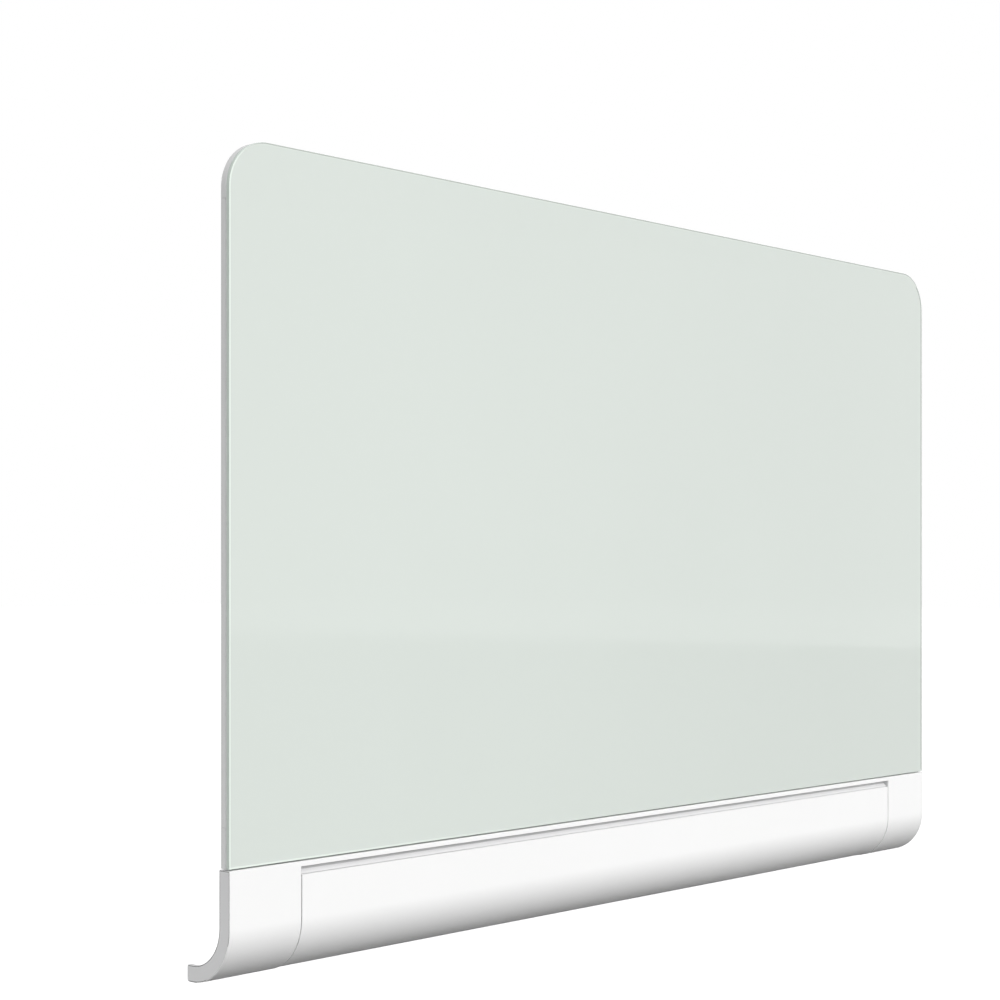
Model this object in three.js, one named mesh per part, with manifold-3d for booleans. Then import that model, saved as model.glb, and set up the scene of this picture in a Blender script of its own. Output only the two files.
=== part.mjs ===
// Wall-mounted glass whiteboard with a tilting marker tray hidden in its curved lower fascia.
// Millimetres, X to the right along the wall, Y into the wall, Z up.
// The origin lies on the wall, at the middle of the wall rail's back face.
import * as THREE from "three";
import { mergeVertices } from "three/addons/utils/BufferGeometryUtils.js";
import Module from "manifold-3d";

const wasm = await Module();
wasm.setup();

// Whole board
const boardWidth = 1270;
const wallDistance = 67.5; // wall to the front of the fascia
const glassSetback = 1.1; // glass front behind the front of the fascia
const glassTopAboveRail = 95;
const jointGap = 1.4; // dark line between the glass and the fascia

// Clearances
const fit = 0.3; // round pins, and between pieces that plug into each other
const seat = 0.1; // between faces that are screwed or pressed together
const bondLine = 0.2; // glue between the layers of the panel
const overrun = 1; // cutters reach this far past what they cut
const weld = 0.001;

// Writing panel
const glassHeight = 711;
const glassThickness = 4;
const glassCornerRadius = 49;
const sheetThickness = 0.6;
const sheetInset = 0.6;
const frameDepth = 7.3;
const sideMemberWidth = 25;
const bottomMemberWidth = 40;
const cornerBlockMargin = 11; // corner blocks and top member below the end of the corners' round

// Wall rail
const railMargin = 155; // rail's ends inside the sides of the board
const railHeight = 50;
const railThickness = 2.5;
const ledgeDrop = 5; // ledge's underside below the middle of the rail
const ledgeReach = 14;
const lipRise = 16.5; // lip above the ledge
const railHoleDrop = 16;
const railHoleRadius = 3;
const railHoleMargin = 60; // outer holes to the rail's ends
const railHoleCount = 4;

// Hangers
const hangerThickness = 2.5;
const hangerWidth = 70;
const hangerFromSide = 255; // middle of a hanger to the board's side
const hangerMargin = 5; // flange inside the frame's top member, above and below
const hangerScrewSpacing = 44;
const tongueGap = 4.5; // tongue of the hanger in front of the rail's back plate

// Fascia
const fasciaHeight = 115.4;
const skinThickness = 2;
const bandDepth = 16.1; // front to back of the fascia's upright part
const lipHeight = 14;
const stripHeight = 4.6;
const slotHeight = 8.3;
const endPanelWidth = 92.3;
const footClearance = 1.5; // foot's end to the wall
const footFlat = 8; // flat end of the curled foot, behind the bend

// End caps
const capThickness = 4;
const capFootThickness = 16.8;
const capRimDepth = 8;
const capRimThickness = 1.5;
const capCornerRadius = 2;

// Side brackets, straps and wall pads
const seamToBracket = 1;
const bracketThickness = 2.5;
const bracketBackRise = 15; // bracket's back edge above the centre of the bend
const bracketShoulderDrop = 12; // bracket's shoulder below the fascia's lip
const flangeWidth = 20;
const strapThickness = 2.5;
const strapWidth = 30;
const strapRise = 32; // strap above the joint
const strapFromSeam = 182.7; // middle of an outer strap to the edge of the fascia's window
const padThickness = 1.5;
const padHeight = 34;
const padMargin = 1.5;

// Screws
const screwHeadRadius = 3.6;
const screwHeadHeight = 2.2;
const screwRadius = 1.75;
const screwLength = 8;
const tinyScrewHeadRadius = 2.3;
const tinyScrewHeadHeight = 0.9;
const tinyScrewRadius = 1.3;
const tinyScrewLength = 10;

// Tray
const seamGap = 0.9;
const trayRaise = 1; // tray's underside above the fascia's
const traySkin = 2;
const trayFootEnd = 7; // tray's back face to the wall
const trayBackHeight = 30;
const creaseDepth = 0.8; // groove behind the tray's top edge
const fingerLipSetback = 6.5; // finger lip behind the front
const slopeRise = 5.2;
const fingerLipRise = 4.5; // finger lip above the slope
const portRadius = 3;
const portOverlap = 0.4;
const upperPortDrop = 14; // screw port below the tray's top edge
const lowerPortAngle = 235; // degrees round the bend, where the lower screw port lies
const endPlateThickness = 2.5;
const endPlateInset = 0.5;
const endPlateTopDrop = 5;
const endPlateTopDepth = 24;
const endPlateBackGap = 4.3; // end plate's back edge to the wall
const endPlateBackRise = 12; // end plate's back corner above the centre of the bend

// Tray hinge
const openAngle = 45; // degrees
const pivotFromWall = 14;
const pivotAboveFoot = 11;
const pinRadius = 3;
const pinHeadRadius = 4.5;
const pinHeadThickness = 1.5;
const pinTail = 2;
const bushRadius = 4.8;
const bushFlangeRadius = 6;
const bushFlangeThickness = 1;
const clipRadius = 5.5;
const clipThickness = 0.8;
const grooveDepth = 0.9;
const clipMouth = 3.2;

// Tray stops and catches
const stopInset = 8; // circle of the stop pins, inside the bend's radius
const stopAngle = 130; // degrees from the wall side, round the pivot
const stopPinRadius = 2;
const stopHeadRadius = 4;
const stopHeadThickness = 1.2;
const stopReach = 1.2; // stop pin past the end plate
const catchGap = 15; // from an outer strap to the catch beside it
const catchLength = 40;
const magnetHeight = 8;
const strikeHeight = 4;
const strikeThickness = 1;

// Segments of round stretches
const bendSteps = 10;
const cornerSteps = 8;
const holeSteps = 6;
const latheSteps = 16;

// Planes, front to back
const fasciaFront = -wallDistance;
const glassFront = fasciaFront + glassSetback;
const glassBack = glassFront + glassThickness;
const sheetFront = glassBack + bondLine;
const sheetBack = sheetFront + sheetThickness;
const frameFront = sheetBack + bondLine;
const frameBack = frameFront + frameDepth;
const hangerFront = frameBack + seat;
const hangerBack = hangerFront + hangerThickness;
const strapFront = frameBack + seat;
const strapBack = strapFront + strapThickness;
const bandBack = fasciaFront + bandDepth;
const lowerStrapFront = bandBack + seat;
const lowerStrapBack = lowerStrapFront + strapThickness;
const footEnd = -footClearance;
const bendY = footEnd - footFlat;
const bendRadius = bendY - fasciaFront;
const flangeBack = -padThickness - seat;

// Planes, bottom to top
const glassTop = glassTopAboveRail;
const glassBottom = glassTop - glassHeight;
const cornerBlock = glassCornerRadius + cornerBlockMargin;
const topMemberBottom = glassTop - cornerBlock;
const hangerBottom = topMemberBottom + hangerMargin;
const hangerTop = glassTop - hangerMargin;
const hangerScrewZ = (hangerBottom + hangerTop) / 2;
const fasciaTop = glassBottom - jointGap;
const footBottom = fasciaTop - fasciaHeight;
const bendZ = footBottom + bendRadius;
const stripBottom = fasciaTop - stripHeight;
const lipBottom = fasciaTop - lipHeight;
const lipScrewZ = (lipBottom + fasciaTop - skinThickness) / 2;
const strapTop = glassBottom + strapRise;
const strapScrewZ = (glassBottom + strapTop) / 2;

// Planes, middle to side
const halfWidth = boardWidth / 2;
const seam = halfWidth - endPanelWidth; // edge of the fascia's window
const trayEnd = seam - seamGap;
const bracketInner = seam + seamToBracket;
const bracketOuter = bracketInner + bracketThickness;
const bracketStrapX = bracketInner + strapWidth / 2;
const outerStrapX = seam - strapFromSeam;
const strapXs = [-outerStrapX, 0, outerStrapX];
const catchStart = outerStrapX + strapWidth / 2 + catchGap;
const catchEnd = catchStart + catchLength;
const endPlateOuter = trayEnd - endPlateInset;
const endPlateInner = endPlateOuter - endPlateThickness;
const railEnd = halfWidth - railMargin;
const hangerX = halfWidth - hangerFromSide;
const hangerScrewXs = [hangerX - hangerScrewSpacing / 2, hangerX + hangerScrewSpacing / 2];

// Planes along the pivot
const pinStart = endPlateInner - seat - pinHeadThickness;
const bushStart = bracketInner - seat - bushFlangeThickness;
const bushEnd = bracketOuter + seat;
const clipStart = bushEnd + seat;
const clipEnd = clipStart + clipThickness;
const pinEnd = clipEnd + seat + pinTail;

// Tray outline
const trayFront = fasciaFront;
const trayRadius = bendRadius - trayRaise;
const trayBendY = trayFront + trayRadius;
const trayBottom = bendZ - trayRadius;
const trayTop = stripBottom - slotHeight;
const trayBack = -trayFootEnd;
const backWallFront = trayBack - traySkin;
const backWallTop = trayBottom + trayBackHeight;
const slopeBottom = trayTop - creaseDepth;
const slopeTop = slopeBottom + slopeRise;
const fingerLipFront = trayFront + fingerLipSetback;
const fingerLipBack = fingerLipFront + traySkin;
const fingerLipTop = slopeTop + fingerLipRise;

// Points in the plane of the tray's ends
const portInset = traySkin + portRadius - portOverlap;
const upperPort = { y: trayFront + portInset, z: trayTop - upperPortDrop };
const bend = { y: trayBendY, z: bendZ };
const lowerPort = around(bend, trayRadius - portInset, lowerPortAngle);
const ports = [upperPort, lowerPort];
const pivot = { y: -pivotFromWall, z: footBottom + pivotAboveFoot };
const stopRadius = bendRadius - stopInset;
const stop = around(pivot, stopRadius, stopAngle);

const sides = [
  { name: "left", sign: -1 },
  { name: "right", sign: 1 },
];

const finishes = {
  glass: { color: 0xdfe7e1, roughness: 0.08, metalness: 0 },
  sheet: { color: 0xb9bcbd, roughness: 0.45, metalness: 0.8 },
  zinc: { color: 0xb9bcbd, roughness: 0.4, metalness: 0.8 },
  anodised: { color: 0xbcbdbe, roughness: 0.4, metalness: 0.6 },
  cornerPlastic: { color: 0xbcbdbe, roughness: 0.5, metalness: 0.1 },
  fibre: { color: 0x9a8a72, roughness: 0.9, metalness: 0 },
  lacquer: { color: 0xf4f4f3, roughness: 0.35, metalness: 0 },
  trayPlastic: { color: 0xf4f4f3, roughness: 0.5, metalness: 0 },
  capPlastic: { color: 0xc6c7c8, roughness: 0.5, metalness: 0 },
  screwSteel: { color: 0x8e9194, roughness: 0.35, metalness: 0.9 },
  pinSteel: { color: 0x8e9194, roughness: 0.3, metalness: 0.9 },
  nylon: { color: 0xe9e7df, roughness: 0.6, metalness: 0 },
  rubber: { color: 0x2a2b2c, roughness: 0.9, metalness: 0 },
  ferrite: { color: 0x3a3b3d, roughness: 0.5, metalness: 0.2 },
};

function rad(degrees) {
  return (degrees * Math.PI) / 180;
}

function around(centre, radius, degrees) {
  return { y: centre.y + radius * Math.cos(rad(degrees)), z: centre.z + radius * Math.sin(rad(degrees)) };
}

// Solids for cutting and joining
function toSolid(geometry) {
  const bare = geometry.index ? geometry.toNonIndexed() : geometry.clone();
  bare.deleteAttribute("normal");
  bare.deleteAttribute("uv");
  const merged = mergeVertices(bare, weld);
  const triVerts = new Uint32Array(merged.index.array);
  return new wasm.Manifold(
    new wasm.Mesh({ numProp: 3, vertProperties: merged.attributes.position.array, triVerts }),
  );
}

function toGeometry(solid) {
  const mesh = solid.getMesh();
  const geometry = new THREE.BufferGeometry();
  geometry.setAttribute("position", new THREE.BufferAttribute(mesh.vertProperties, 3));
  geometry.setIndex(new THREE.BufferAttribute(mesh.triVerts, 1));
  const faceted = geometry.toNonIndexed();
  faceted.computeVertexNormals();
  return faceted;
}

function cut(geometry, ...cutters) {
  return toGeometry(cutters.reduce((solid, cutter) => solid.subtract(toSolid(cutter)), toSolid(geometry)));
}

function join(geometry, ...others) {
  return toGeometry(others.reduce((solid, other) => solid.add(toSolid(other)), toSolid(geometry)));
}

// Outline with its curves sampled, and points that fall on their neighbour left out
function sampled(shape, curveSegments) {
  const loop = (points) =>
    points.filter((point, i) => point.distanceTo(points[(i + 1) % points.length]) > weld);
  const { shape: outline, holes } = shape.extractPoints(curveSegments);
  const clean = new THREE.Shape(loop(outline));
  clean.holes = holes.map((hole) => new THREE.Path(loop(hole)));
  return clean;
}

function sweep(shape, depth, curveSegments) {
  return new THREE.ExtrudeGeometry(sampled(shape, curveSegments), { depth, bevelEnabled: false });
}

// Shape in Y and Z, swept along X from x to x + length
function sweepX(shape, x, length, curveSegments) {
  const alongX = new THREE.Vector3(1, 0, 0);
  const alongY = new THREE.Vector3(0, 1, 0);
  const alongZ = new THREE.Vector3(0, 0, 1);
  const turn = new THREE.Matrix4().makeBasis(alongY, alongZ, alongX);
  return sweep(shape, length, curveSegments).applyMatrix4(turn).translate(x, 0, 0);
}

// Shape in X and Z, swept from the plane y = front back to y = back
function sweepY(shape, front, back, curveSegments) {
  return sweep(shape, back - front, curveSegments).rotateX(Math.PI / 2).translate(0, back, 0);
}

function polygon(points) {
  return new THREE.Shape(points.map(([a, b]) => new THREE.Vector2(a, b)));
}

function block(x0, x1, y0, y1, z0, z1) {
  const geometry = new THREE.BoxGeometry(x1 - x0, y1 - y0, z1 - z0);
  return geometry.translate((x0 + x1) / 2, (y0 + y1) / 2, (z0 + z1) / 2);
}

// Round bar along X, from x0 to x1
function barX(radius, x0, x1, y, z) {
  const geometry = new THREE.CylinderGeometry(radius, radius, x1 - x0, latheSteps);
  return geometry.rotateZ(-Math.PI / 2).translate((x0 + x1) / 2, y, z);
}

// Round bar along Y, from y0 to y1
function barY(radius, y0, y1, x, z) {
  const geometry = new THREE.CylinderGeometry(radius, radius, y1 - y0, latheSteps);
  return geometry.translate(x, (y0 + y1) / 2, z);
}

// Turned piece from radii and heights along its axis, from the bottom up
function turned(profile) {
  return new THREE.LatheGeometry(
    profile.map(([radius, height]) => new THREE.Vector2(radius, height)),
    latheSteps,
  );
}

// Turned piece with its axis along X, from radii and places along X
function turnedX(profile) {
  return turned(profile).rotateZ(-Math.PI / 2);
}

function circleHole(y, z, radius) {
  return new THREE.Path().absarc(y, z, radius, 0, 2 * Math.PI, false);
}

function addPiece(group, name, geometry, surface) {
  const mesh = new THREE.Mesh(geometry, new THREE.MeshStandardMaterial(surface));
  mesh.name = name;
  group.add(mesh);
  return mesh;
}

// One group for each side, drawn for the right side and mirrored for the left
function bothSides(parent, build) {
  for (const side of sides) {
    const group = new THREE.Group();
    group.scale.x = side.sign;
    build(group, side.name);
    parent.add(group);
  }
}

// Pan head screw along Y: head towards the wall, shank towards the front
function panScrew() {
  return turned([
    [0, -screwLength],
    [screwRadius, -screwLength],
    [screwRadius, 0],
    [screwHeadRadius, 0],
    [screwHeadRadius, screwHeadHeight / 2],
    [screwHeadRadius - screwHeadHeight / 2, screwHeadHeight],
    [0, screwHeadHeight],
  ]);
}

function addScrew(group, name, x, y, z) {
  const screw = addPiece(group, name, panScrew(), finishes.screwSteel);
  screw.position.set(x, y + seat, z);
}

// Hole for such a screw, through everything in front of its head
function screwHole(x, y, z) {
  return barY(screwRadius + fit, y - screwLength - overrun, y + overrun, x, z);
}

// Outline of the panel: rounded top corners, square bottom corners
function panelShape(inset) {
  const side = halfWidth - inset;
  const top = glassTop - inset;
  const bottom = glassBottom + inset;
  const radius = glassCornerRadius - inset;
  const shape = new THREE.Shape();
  shape.moveTo(-side, bottom);
  shape.lineTo(side, bottom);
  shape.lineTo(side, top - radius);
  shape.absarc(side - radius, top - radius, radius, 0, Math.PI / 2, false);
  shape.lineTo(radius - side, top);
  shape.absarc(radius - side, top - radius, radius, Math.PI / 2, Math.PI, false);
  shape.closePath();
  return shape;
}

// Block that fills the frame behind a rounded corner of the glass
function cornerShape() {
  const inner = halfWidth - cornerBlock;
  const roundX = halfWidth - glassCornerRadius;
  const roundZ = glassTop - glassCornerRadius;
  const shape = new THREE.Shape();
  shape.moveTo(inner, topMemberBottom);
  shape.lineTo(halfWidth, topMemberBottom);
  shape.lineTo(halfWidth, roundZ);
  shape.absarc(roundX, roundZ, glassCornerRadius, 0, Math.PI / 2, false);
  shape.lineTo(inner, glassTop);
  shape.closePath();
  return shape;
}

// Writing panel: glass, magnetic sheet, core and the frame round the core
function writingPanel() {
  const group = new THREE.Group();
  const glass = sweepY(panelShape(0), glassFront, glassBack, cornerSteps);
  addPiece(group, "glass_panel", glass, finishes.glass);
  const sheet = sweepY(panelShape(sheetInset), sheetFront, sheetBack, cornerSteps);
  addPiece(group, "steel_sheet", sheet, finishes.sheet);

  const coreTop = topMemberBottom - fit;
  const memberTop = glassBottom + bottomMemberWidth;
  const coreBottom = memberTop + fit;
  const coreSide = halfWidth - sideMemberWidth - fit;
  const core = block(-coreSide, coreSide, frameFront, frameBack, coreBottom, coreTop);
  addPiece(group, "core_board", core, finishes.fibre);

  const topEnd = halfWidth - cornerBlock - fit;
  const top = block(-topEnd, topEnd, frameFront, frameBack, topMemberBottom, glassTop);
  const topHoles = hangerScrewXs.flatMap((x) =>
    sides.map(({ sign }) => screwHole(sign * x, hangerBack, hangerScrewZ)),
  );
  addPiece(group, "frame_top", cut(top, ...topHoles), finishes.anodised);

  const bottom = block(-halfWidth, halfWidth, frameFront, frameBack, glassBottom, memberTop);
  const bottomHoles = [-bracketStrapX, ...strapXs, bracketStrapX].map((x) =>
    screwHole(x, strapBack, strapScrewZ),
  );
  addPiece(group, "frame_bottom", cut(bottom, ...bottomHoles), finishes.anodised);

  bothSides(group, (sideGroup, name) => {
    const member = block(coreSide + fit, halfWidth, frameFront, frameBack, coreBottom, coreTop);
    addPiece(sideGroup, "frame_" + name, member, finishes.anodised);
    const corner = sweepY(cornerShape(), frameFront, frameBack, cornerSteps);
    addPiece(sideGroup, "frame_corner_" + name, corner, finishes.cornerPlastic);
  });
  return group;
}

// Section of the wall rail: back plate, ledge and upturned lip
function railShape() {
  const ledgeBottom = -ledgeDrop;
  const ledgeTop = ledgeBottom + railThickness;
  const lipPeak = ledgeTop + lipRise;
  return polygon([
    [0, -railHeight / 2],
    [0, railHeight / 2],
    [-railThickness, railHeight / 2],
    [-railThickness, ledgeTop],
    [railThickness - ledgeReach, ledgeTop],
    [railThickness - ledgeReach, lipPeak],
    [-ledgeReach, lipPeak],
    [-ledgeReach, ledgeBottom],
    [-railThickness, ledgeBottom],
    [-railThickness, -railHeight / 2],
  ]);
}

// Section of a hanger: flange on the panel, arm, and tongue that stands on the rail's ledge
function hangerShape() {
  const tongueBack = -railThickness - tongueGap;
  const tongueFront = tongueBack - hangerThickness;
  const tongueBottom = railThickness - ledgeDrop + fit;
  const armTop = hangerBottom + hangerThickness;
  return polygon([
    [hangerFront, hangerBottom],
    [tongueFront, hangerBottom],
    [tongueFront, tongueBottom],
    [tongueBack, tongueBottom],
    [tongueBack, armTop],
    [hangerBack, armTop],
    [hangerBack, hangerTop],
    [hangerFront, hangerTop],
  ]);
}

function wallFixings() {
  const group = new THREE.Group();
  const outerHole = railEnd - railHoleMargin;
  const holeSpacing = (2 * outerHole) / (railHoleCount - 1);
  const holes = [];
  for (let i = 0; i < railHoleCount; i += 1) {
    const x = i * holeSpacing - outerHole;
    holes.push(barY(railHoleRadius, -railThickness - overrun, overrun, x, -railHoleDrop));
  }
  const rail = cut(sweepX(railShape(), -railEnd, 2 * railEnd, holeSteps), ...holes);
  addPiece(group, "wall_rail", rail, finishes.zinc);

  bothSides(group, (sideGroup, name) => {
    const bare = sweepX(hangerShape(), hangerX - hangerWidth / 2, hangerWidth, holeSteps);
    const screwHoles = hangerScrewXs.map((x) => screwHole(x, hangerBack, hangerScrewZ));
    addPiece(sideGroup, "hanger_" + name, cut(bare, ...screwHoles), finishes.zinc);
    hangerScrewXs.forEach((x, i) => {
      addScrew(sideGroup, "hanger_screw_" + name + "_" + (i + 1), x, hangerBack, hangerScrewZ);
    });
  });
  return group;
}

// Section of the fascia: thin skin with a curled foot and a folded top
function fasciaShape() {
  const inner = fasciaFront + skinThickness;
  const lipFace = bandBack - skinThickness;
  const foldInside = fasciaTop - skinThickness;
  const shape = new THREE.Shape();
  shape.moveTo(footEnd, footBottom);
  shape.lineTo(bendY, footBottom);
  shape.absarc(bendY, bendZ, bendRadius, -Math.PI / 2, -Math.PI, true);
  shape.lineTo(fasciaFront, fasciaTop);
  shape.lineTo(bandBack, fasciaTop);
  shape.lineTo(bandBack, lipBottom);
  shape.lineTo(lipFace, lipBottom);
  shape.lineTo(lipFace, foldInside);
  shape.lineTo(inner, foldInside);
  shape.lineTo(inner, bendZ);
  shape.absarc(bendY, bendZ, bendRadius - skinThickness, -Math.PI, -Math.PI / 2, false);
  shape.lineTo(footEnd, footBottom + skinThickness);
  shape.closePath();
  return shape;
}

// Fascia with a window for the tray between its two seams
function fasciaGeometry() {
  const end = halfWidth - capThickness - fit;
  const skin = sweepX(fasciaShape(), -end, 2 * end, bendSteps);
  const front = fasciaFront - overrun;
  const low = footBottom - overrun;
  const lipFace = bandBack - skinThickness;
  const upright = block(-seam, seam, front, lipFace - overrun, low, stripBottom);
  const foot = block(-seam, seam, front, overrun, low, bendZ);
  const holes = [-bracketStrapX, ...strapXs, bracketStrapX].map((x) =>
    barY(screwRadius + fit, lipFace - overrun, bandBack + overrun, x, lipScrewZ),
  );
  return cut(skin, upright, foot, ...holes);
}

// Outline of an end cap, with the foot's end rounded at both corners
function capShape() {
  const footTop = footBottom + capFootThickness;
  const innerRadius = bendRadius - bandDepth;
  const innerZ = footTop + innerRadius;
  const round = capCornerRadius;
  const shape = new THREE.Shape();
  shape.moveTo(footEnd, footBottom + round);
  shape.absarc(footEnd - round, footBottom + round, round, 0, -Math.PI / 2, true);
  shape.lineTo(bendY, footBottom);
  shape.absarc(bendY, bendZ, bendRadius, -Math.PI / 2, -Math.PI, true);
  shape.lineTo(fasciaFront, fasciaTop);
  shape.lineTo(bandBack, fasciaTop);
  shape.lineTo(bandBack, innerZ);
  shape.absarc(bendY, innerZ, innerRadius, -Math.PI, -Math.PI / 2, false);
  shape.lineTo(footEnd - round, footTop);
  shape.absarc(footEnd - round, footTop - round, round, Math.PI / 2, 0, true);
  shape.closePath();
  return shape;
}

// Rim on an end cap's inner face, which plugs into the end of the fascia
function capRimShape() {
  const outer = skinThickness + fit;
  const inner = outer + capRimThickness;
  const top = fasciaTop - outer;
  const end = footEnd - capCornerRadius;
  const shape = new THREE.Shape();
  shape.moveTo(end, footBottom + outer);
  shape.lineTo(bendY, footBottom + outer);
  shape.absarc(bendY, bendZ, bendRadius - outer, -Math.PI / 2, -Math.PI, true);
  shape.lineTo(fasciaFront + outer, top);
  shape.lineTo(fasciaFront + inner, top);
  shape.lineTo(fasciaFront + inner, bendZ);
  shape.absarc(bendY, bendZ, bendRadius - inner, -Math.PI, -Math.PI / 2, false);
  shape.lineTo(end, footBottom + inner);
  shape.closePath();
  return shape;
}

function capGeometry() {
  const plateStart = halfWidth - capThickness;
  const plate = sweepX(capShape(), plateStart, capThickness, bendSteps);
  const rim = sweepX(capRimShape(), plateStart - capRimDepth, capRimDepth + weld, bendSteps);
  return join(plate, rim);
}

// Cheek of a side bracket, beside the tray's end
function cheekShape() {
  const inset = skinThickness + fit;
  const top = fasciaTop - inset;
  const lipFace = bandBack - skinThickness - fit;
  const shape = new THREE.Shape();
  shape.moveTo(flangeBack, footBottom + inset);
  shape.lineTo(bendY, footBottom + inset);
  shape.absarc(bendY, bendZ, bendRadius - inset, -Math.PI / 2, -Math.PI, true);
  shape.lineTo(fasciaFront + inset, top);
  shape.lineTo(lipFace, top);
  shape.lineTo(lipFace, lipBottom - fit);
  shape.lineTo(lowerStrapBack, lipBottom - fit);
  shape.lineTo(lowerStrapBack, lipBottom - bracketShoulderDrop);
  shape.lineTo(flangeBack, bendZ + bracketBackRise);
  shape.closePath();
  shape.holes.push(circleHole(pivot.y, pivot.z, bushRadius + fit));
  shape.holes.push(circleHole(stop.y, stop.z, stopPinRadius + fit));
  return shape;
}

// Stepped strip that joins the panel's frame to the fascia's folded lip
function strapShape(bottom) {
  const step = fasciaTop + seat;
  return polygon([
    [lowerStrapFront, bottom],
    [lowerStrapBack, bottom],
    [lowerStrapBack, step + strapThickness],
    [strapBack, step + strapThickness],
    [strapBack, strapTop],
    [strapFront, strapTop],
    [strapFront, step],
    [lowerStrapFront, step],
  ]);
}

function strapHoles(x) {
  return [screwHole(x, strapBack, strapScrewZ), screwHole(x, lowerStrapBack, lipScrewZ)];
}

// Side bracket: cheek, strap to the panel, and flange for the wall pad
function bracketGeometry() {
  const cheek = sweepX(cheekShape(), bracketInner, bracketThickness, bendSteps);
  const strap = sweepX(strapShape(lipBottom - bracketShoulderDrop), bracketInner, strapWidth, holeSteps);
  const flangeEnd = bracketInner + flangeWidth;
  const flangeFront = flangeBack - bracketThickness;
  const flangeBottom = footBottom + skinThickness + fit;
  const flangeTop = bendZ + bracketBackRise - bracketThickness;
  const flange = block(bracketInner, flangeEnd, flangeFront, flangeBack, flangeBottom, flangeTop);
  return cut(join(cheek, strap, flange), ...strapHoles(bracketStrapX));
}

function padGeometry() {
  const start = bracketInner + padMargin;
  const end = bracketInner + flangeWidth - padMargin;
  const bottom = footBottom + skinThickness + padMargin;
  return block(start, end, -padThickness, 0, bottom, bottom + padHeight);
}

function lowerSection() {
  const group = new THREE.Group();
  addPiece(group, "fascia", fasciaGeometry(), finishes.lacquer);

  bothSides(group, (sideGroup, name) => {
    addPiece(sideGroup, "end_cap_" + name, capGeometry(), finishes.capPlastic);
    addPiece(sideGroup, "side_bracket_" + name, bracketGeometry(), finishes.zinc);
    addScrew(sideGroup, "bracket_screw_" + name, bracketStrapX, strapBack, strapScrewZ);
    addScrew(sideGroup, "fascia_screw_" + name, bracketStrapX, lowerStrapBack, lipScrewZ);
    addPiece(sideGroup, "wall_pad_" + name, padGeometry(), finishes.rubber);
  });

  const strapNames = ["left", "centre", "right"];
  strapXs.forEach((x, i) => {
    const bare = sweepX(strapShape(lipBottom), x - strapWidth / 2, strapWidth, holeSteps);
    addPiece(group, "joint_strap_" + strapNames[i], cut(bare, ...strapHoles(x)), finishes.zinc);
    addScrew(group, "strap_screw_upper_" + strapNames[i], x, strapBack, strapScrewZ);
    addScrew(group, "strap_screw_lower_" + strapNames[i], x, lowerStrapBack, lipScrewZ);
  });
  return group;
}

// Section of the tray's skin: upright front, bend and floor
function trayShape() {
  const inner = trayFront + traySkin;
  const shape = new THREE.Shape();
  shape.moveTo(trayBack, trayBottom);
  shape.lineTo(trayBendY, trayBottom);
  shape.absarc(trayBendY, bendZ, trayRadius, -Math.PI / 2, -Math.PI, true);
  shape.lineTo(trayFront, trayTop);
  shape.lineTo(inner, trayTop);
  shape.lineTo(inner, bendZ);
  shape.absarc(trayBendY, bendZ, trayRadius - traySkin, -Math.PI, -Math.PI / 2, false);
  shape.lineTo(trayBack, trayBottom + traySkin);
  shape.closePath();
  return shape;
}

// Section of the strip bonded behind the skin's top edge: slope and finger lip
function trayLipShape() {
  const inner = trayFront + traySkin + seat;
  const slopeWall = traySkin * Math.hypot(1, slopeRise / (fingerLipFront - inner));
  return polygon([
    [inner, slopeBottom],
    [fingerLipFront, slopeTop],
    [fingerLipFront, fingerLipTop],
    [fingerLipBack, fingerLipTop],
    [fingerLipBack, slopeTop],
    [inner, slopeBottom - slopeWall],
  ]);
}

// Strip bonded on the skin's back edge, which keeps the markers off the wall
function trayBackGeometry() {
  const bottom = trayBottom + traySkin + seat;
  return block(-trayEnd, trayEnd, backWallFront, trayBack, bottom, backWallTop);
}

// Tray skin with two screw ports along its inner face, which stop short of the end plates
function trayGeometry() {
  const portEnd = endPlateInner - fit;
  const tubes = ports.map(({ y, z }) => {
    const ring = new THREE.Shape().absarc(y, z, portRadius, 0, 2 * Math.PI, false);
    ring.holes.push(circleHole(y, z, tinyScrewRadius + fit));
    return sweepX(ring, -portEnd, 2 * portEnd, holeSteps);
  });
  return join(sweepX(trayShape(), -trayEnd, 2 * trayEnd, bendSteps), ...tubes);
}

// Slot that lets an end plate turn past the fixed stop pin
function stopSlot() {
  const half = stopPinRadius + fit;
  const startAngle = rad(stopAngle - openAngle);
  const endAngle = rad(stopAngle);
  const start = around(pivot, stopRadius, stopAngle - openAngle);
  const path = new THREE.Path();
  path.absarc(pivot.y, pivot.z, stopRadius + half, startAngle, endAngle, false);
  path.absarc(stop.y, stop.z, half, endAngle, endAngle + Math.PI, false);
  path.absarc(pivot.y, pivot.z, stopRadius - half, endAngle, startAngle, true);
  path.absarc(start.y, start.z, half, startAngle - Math.PI, startAngle, false);
  path.closePath();
  return path;
}

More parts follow.
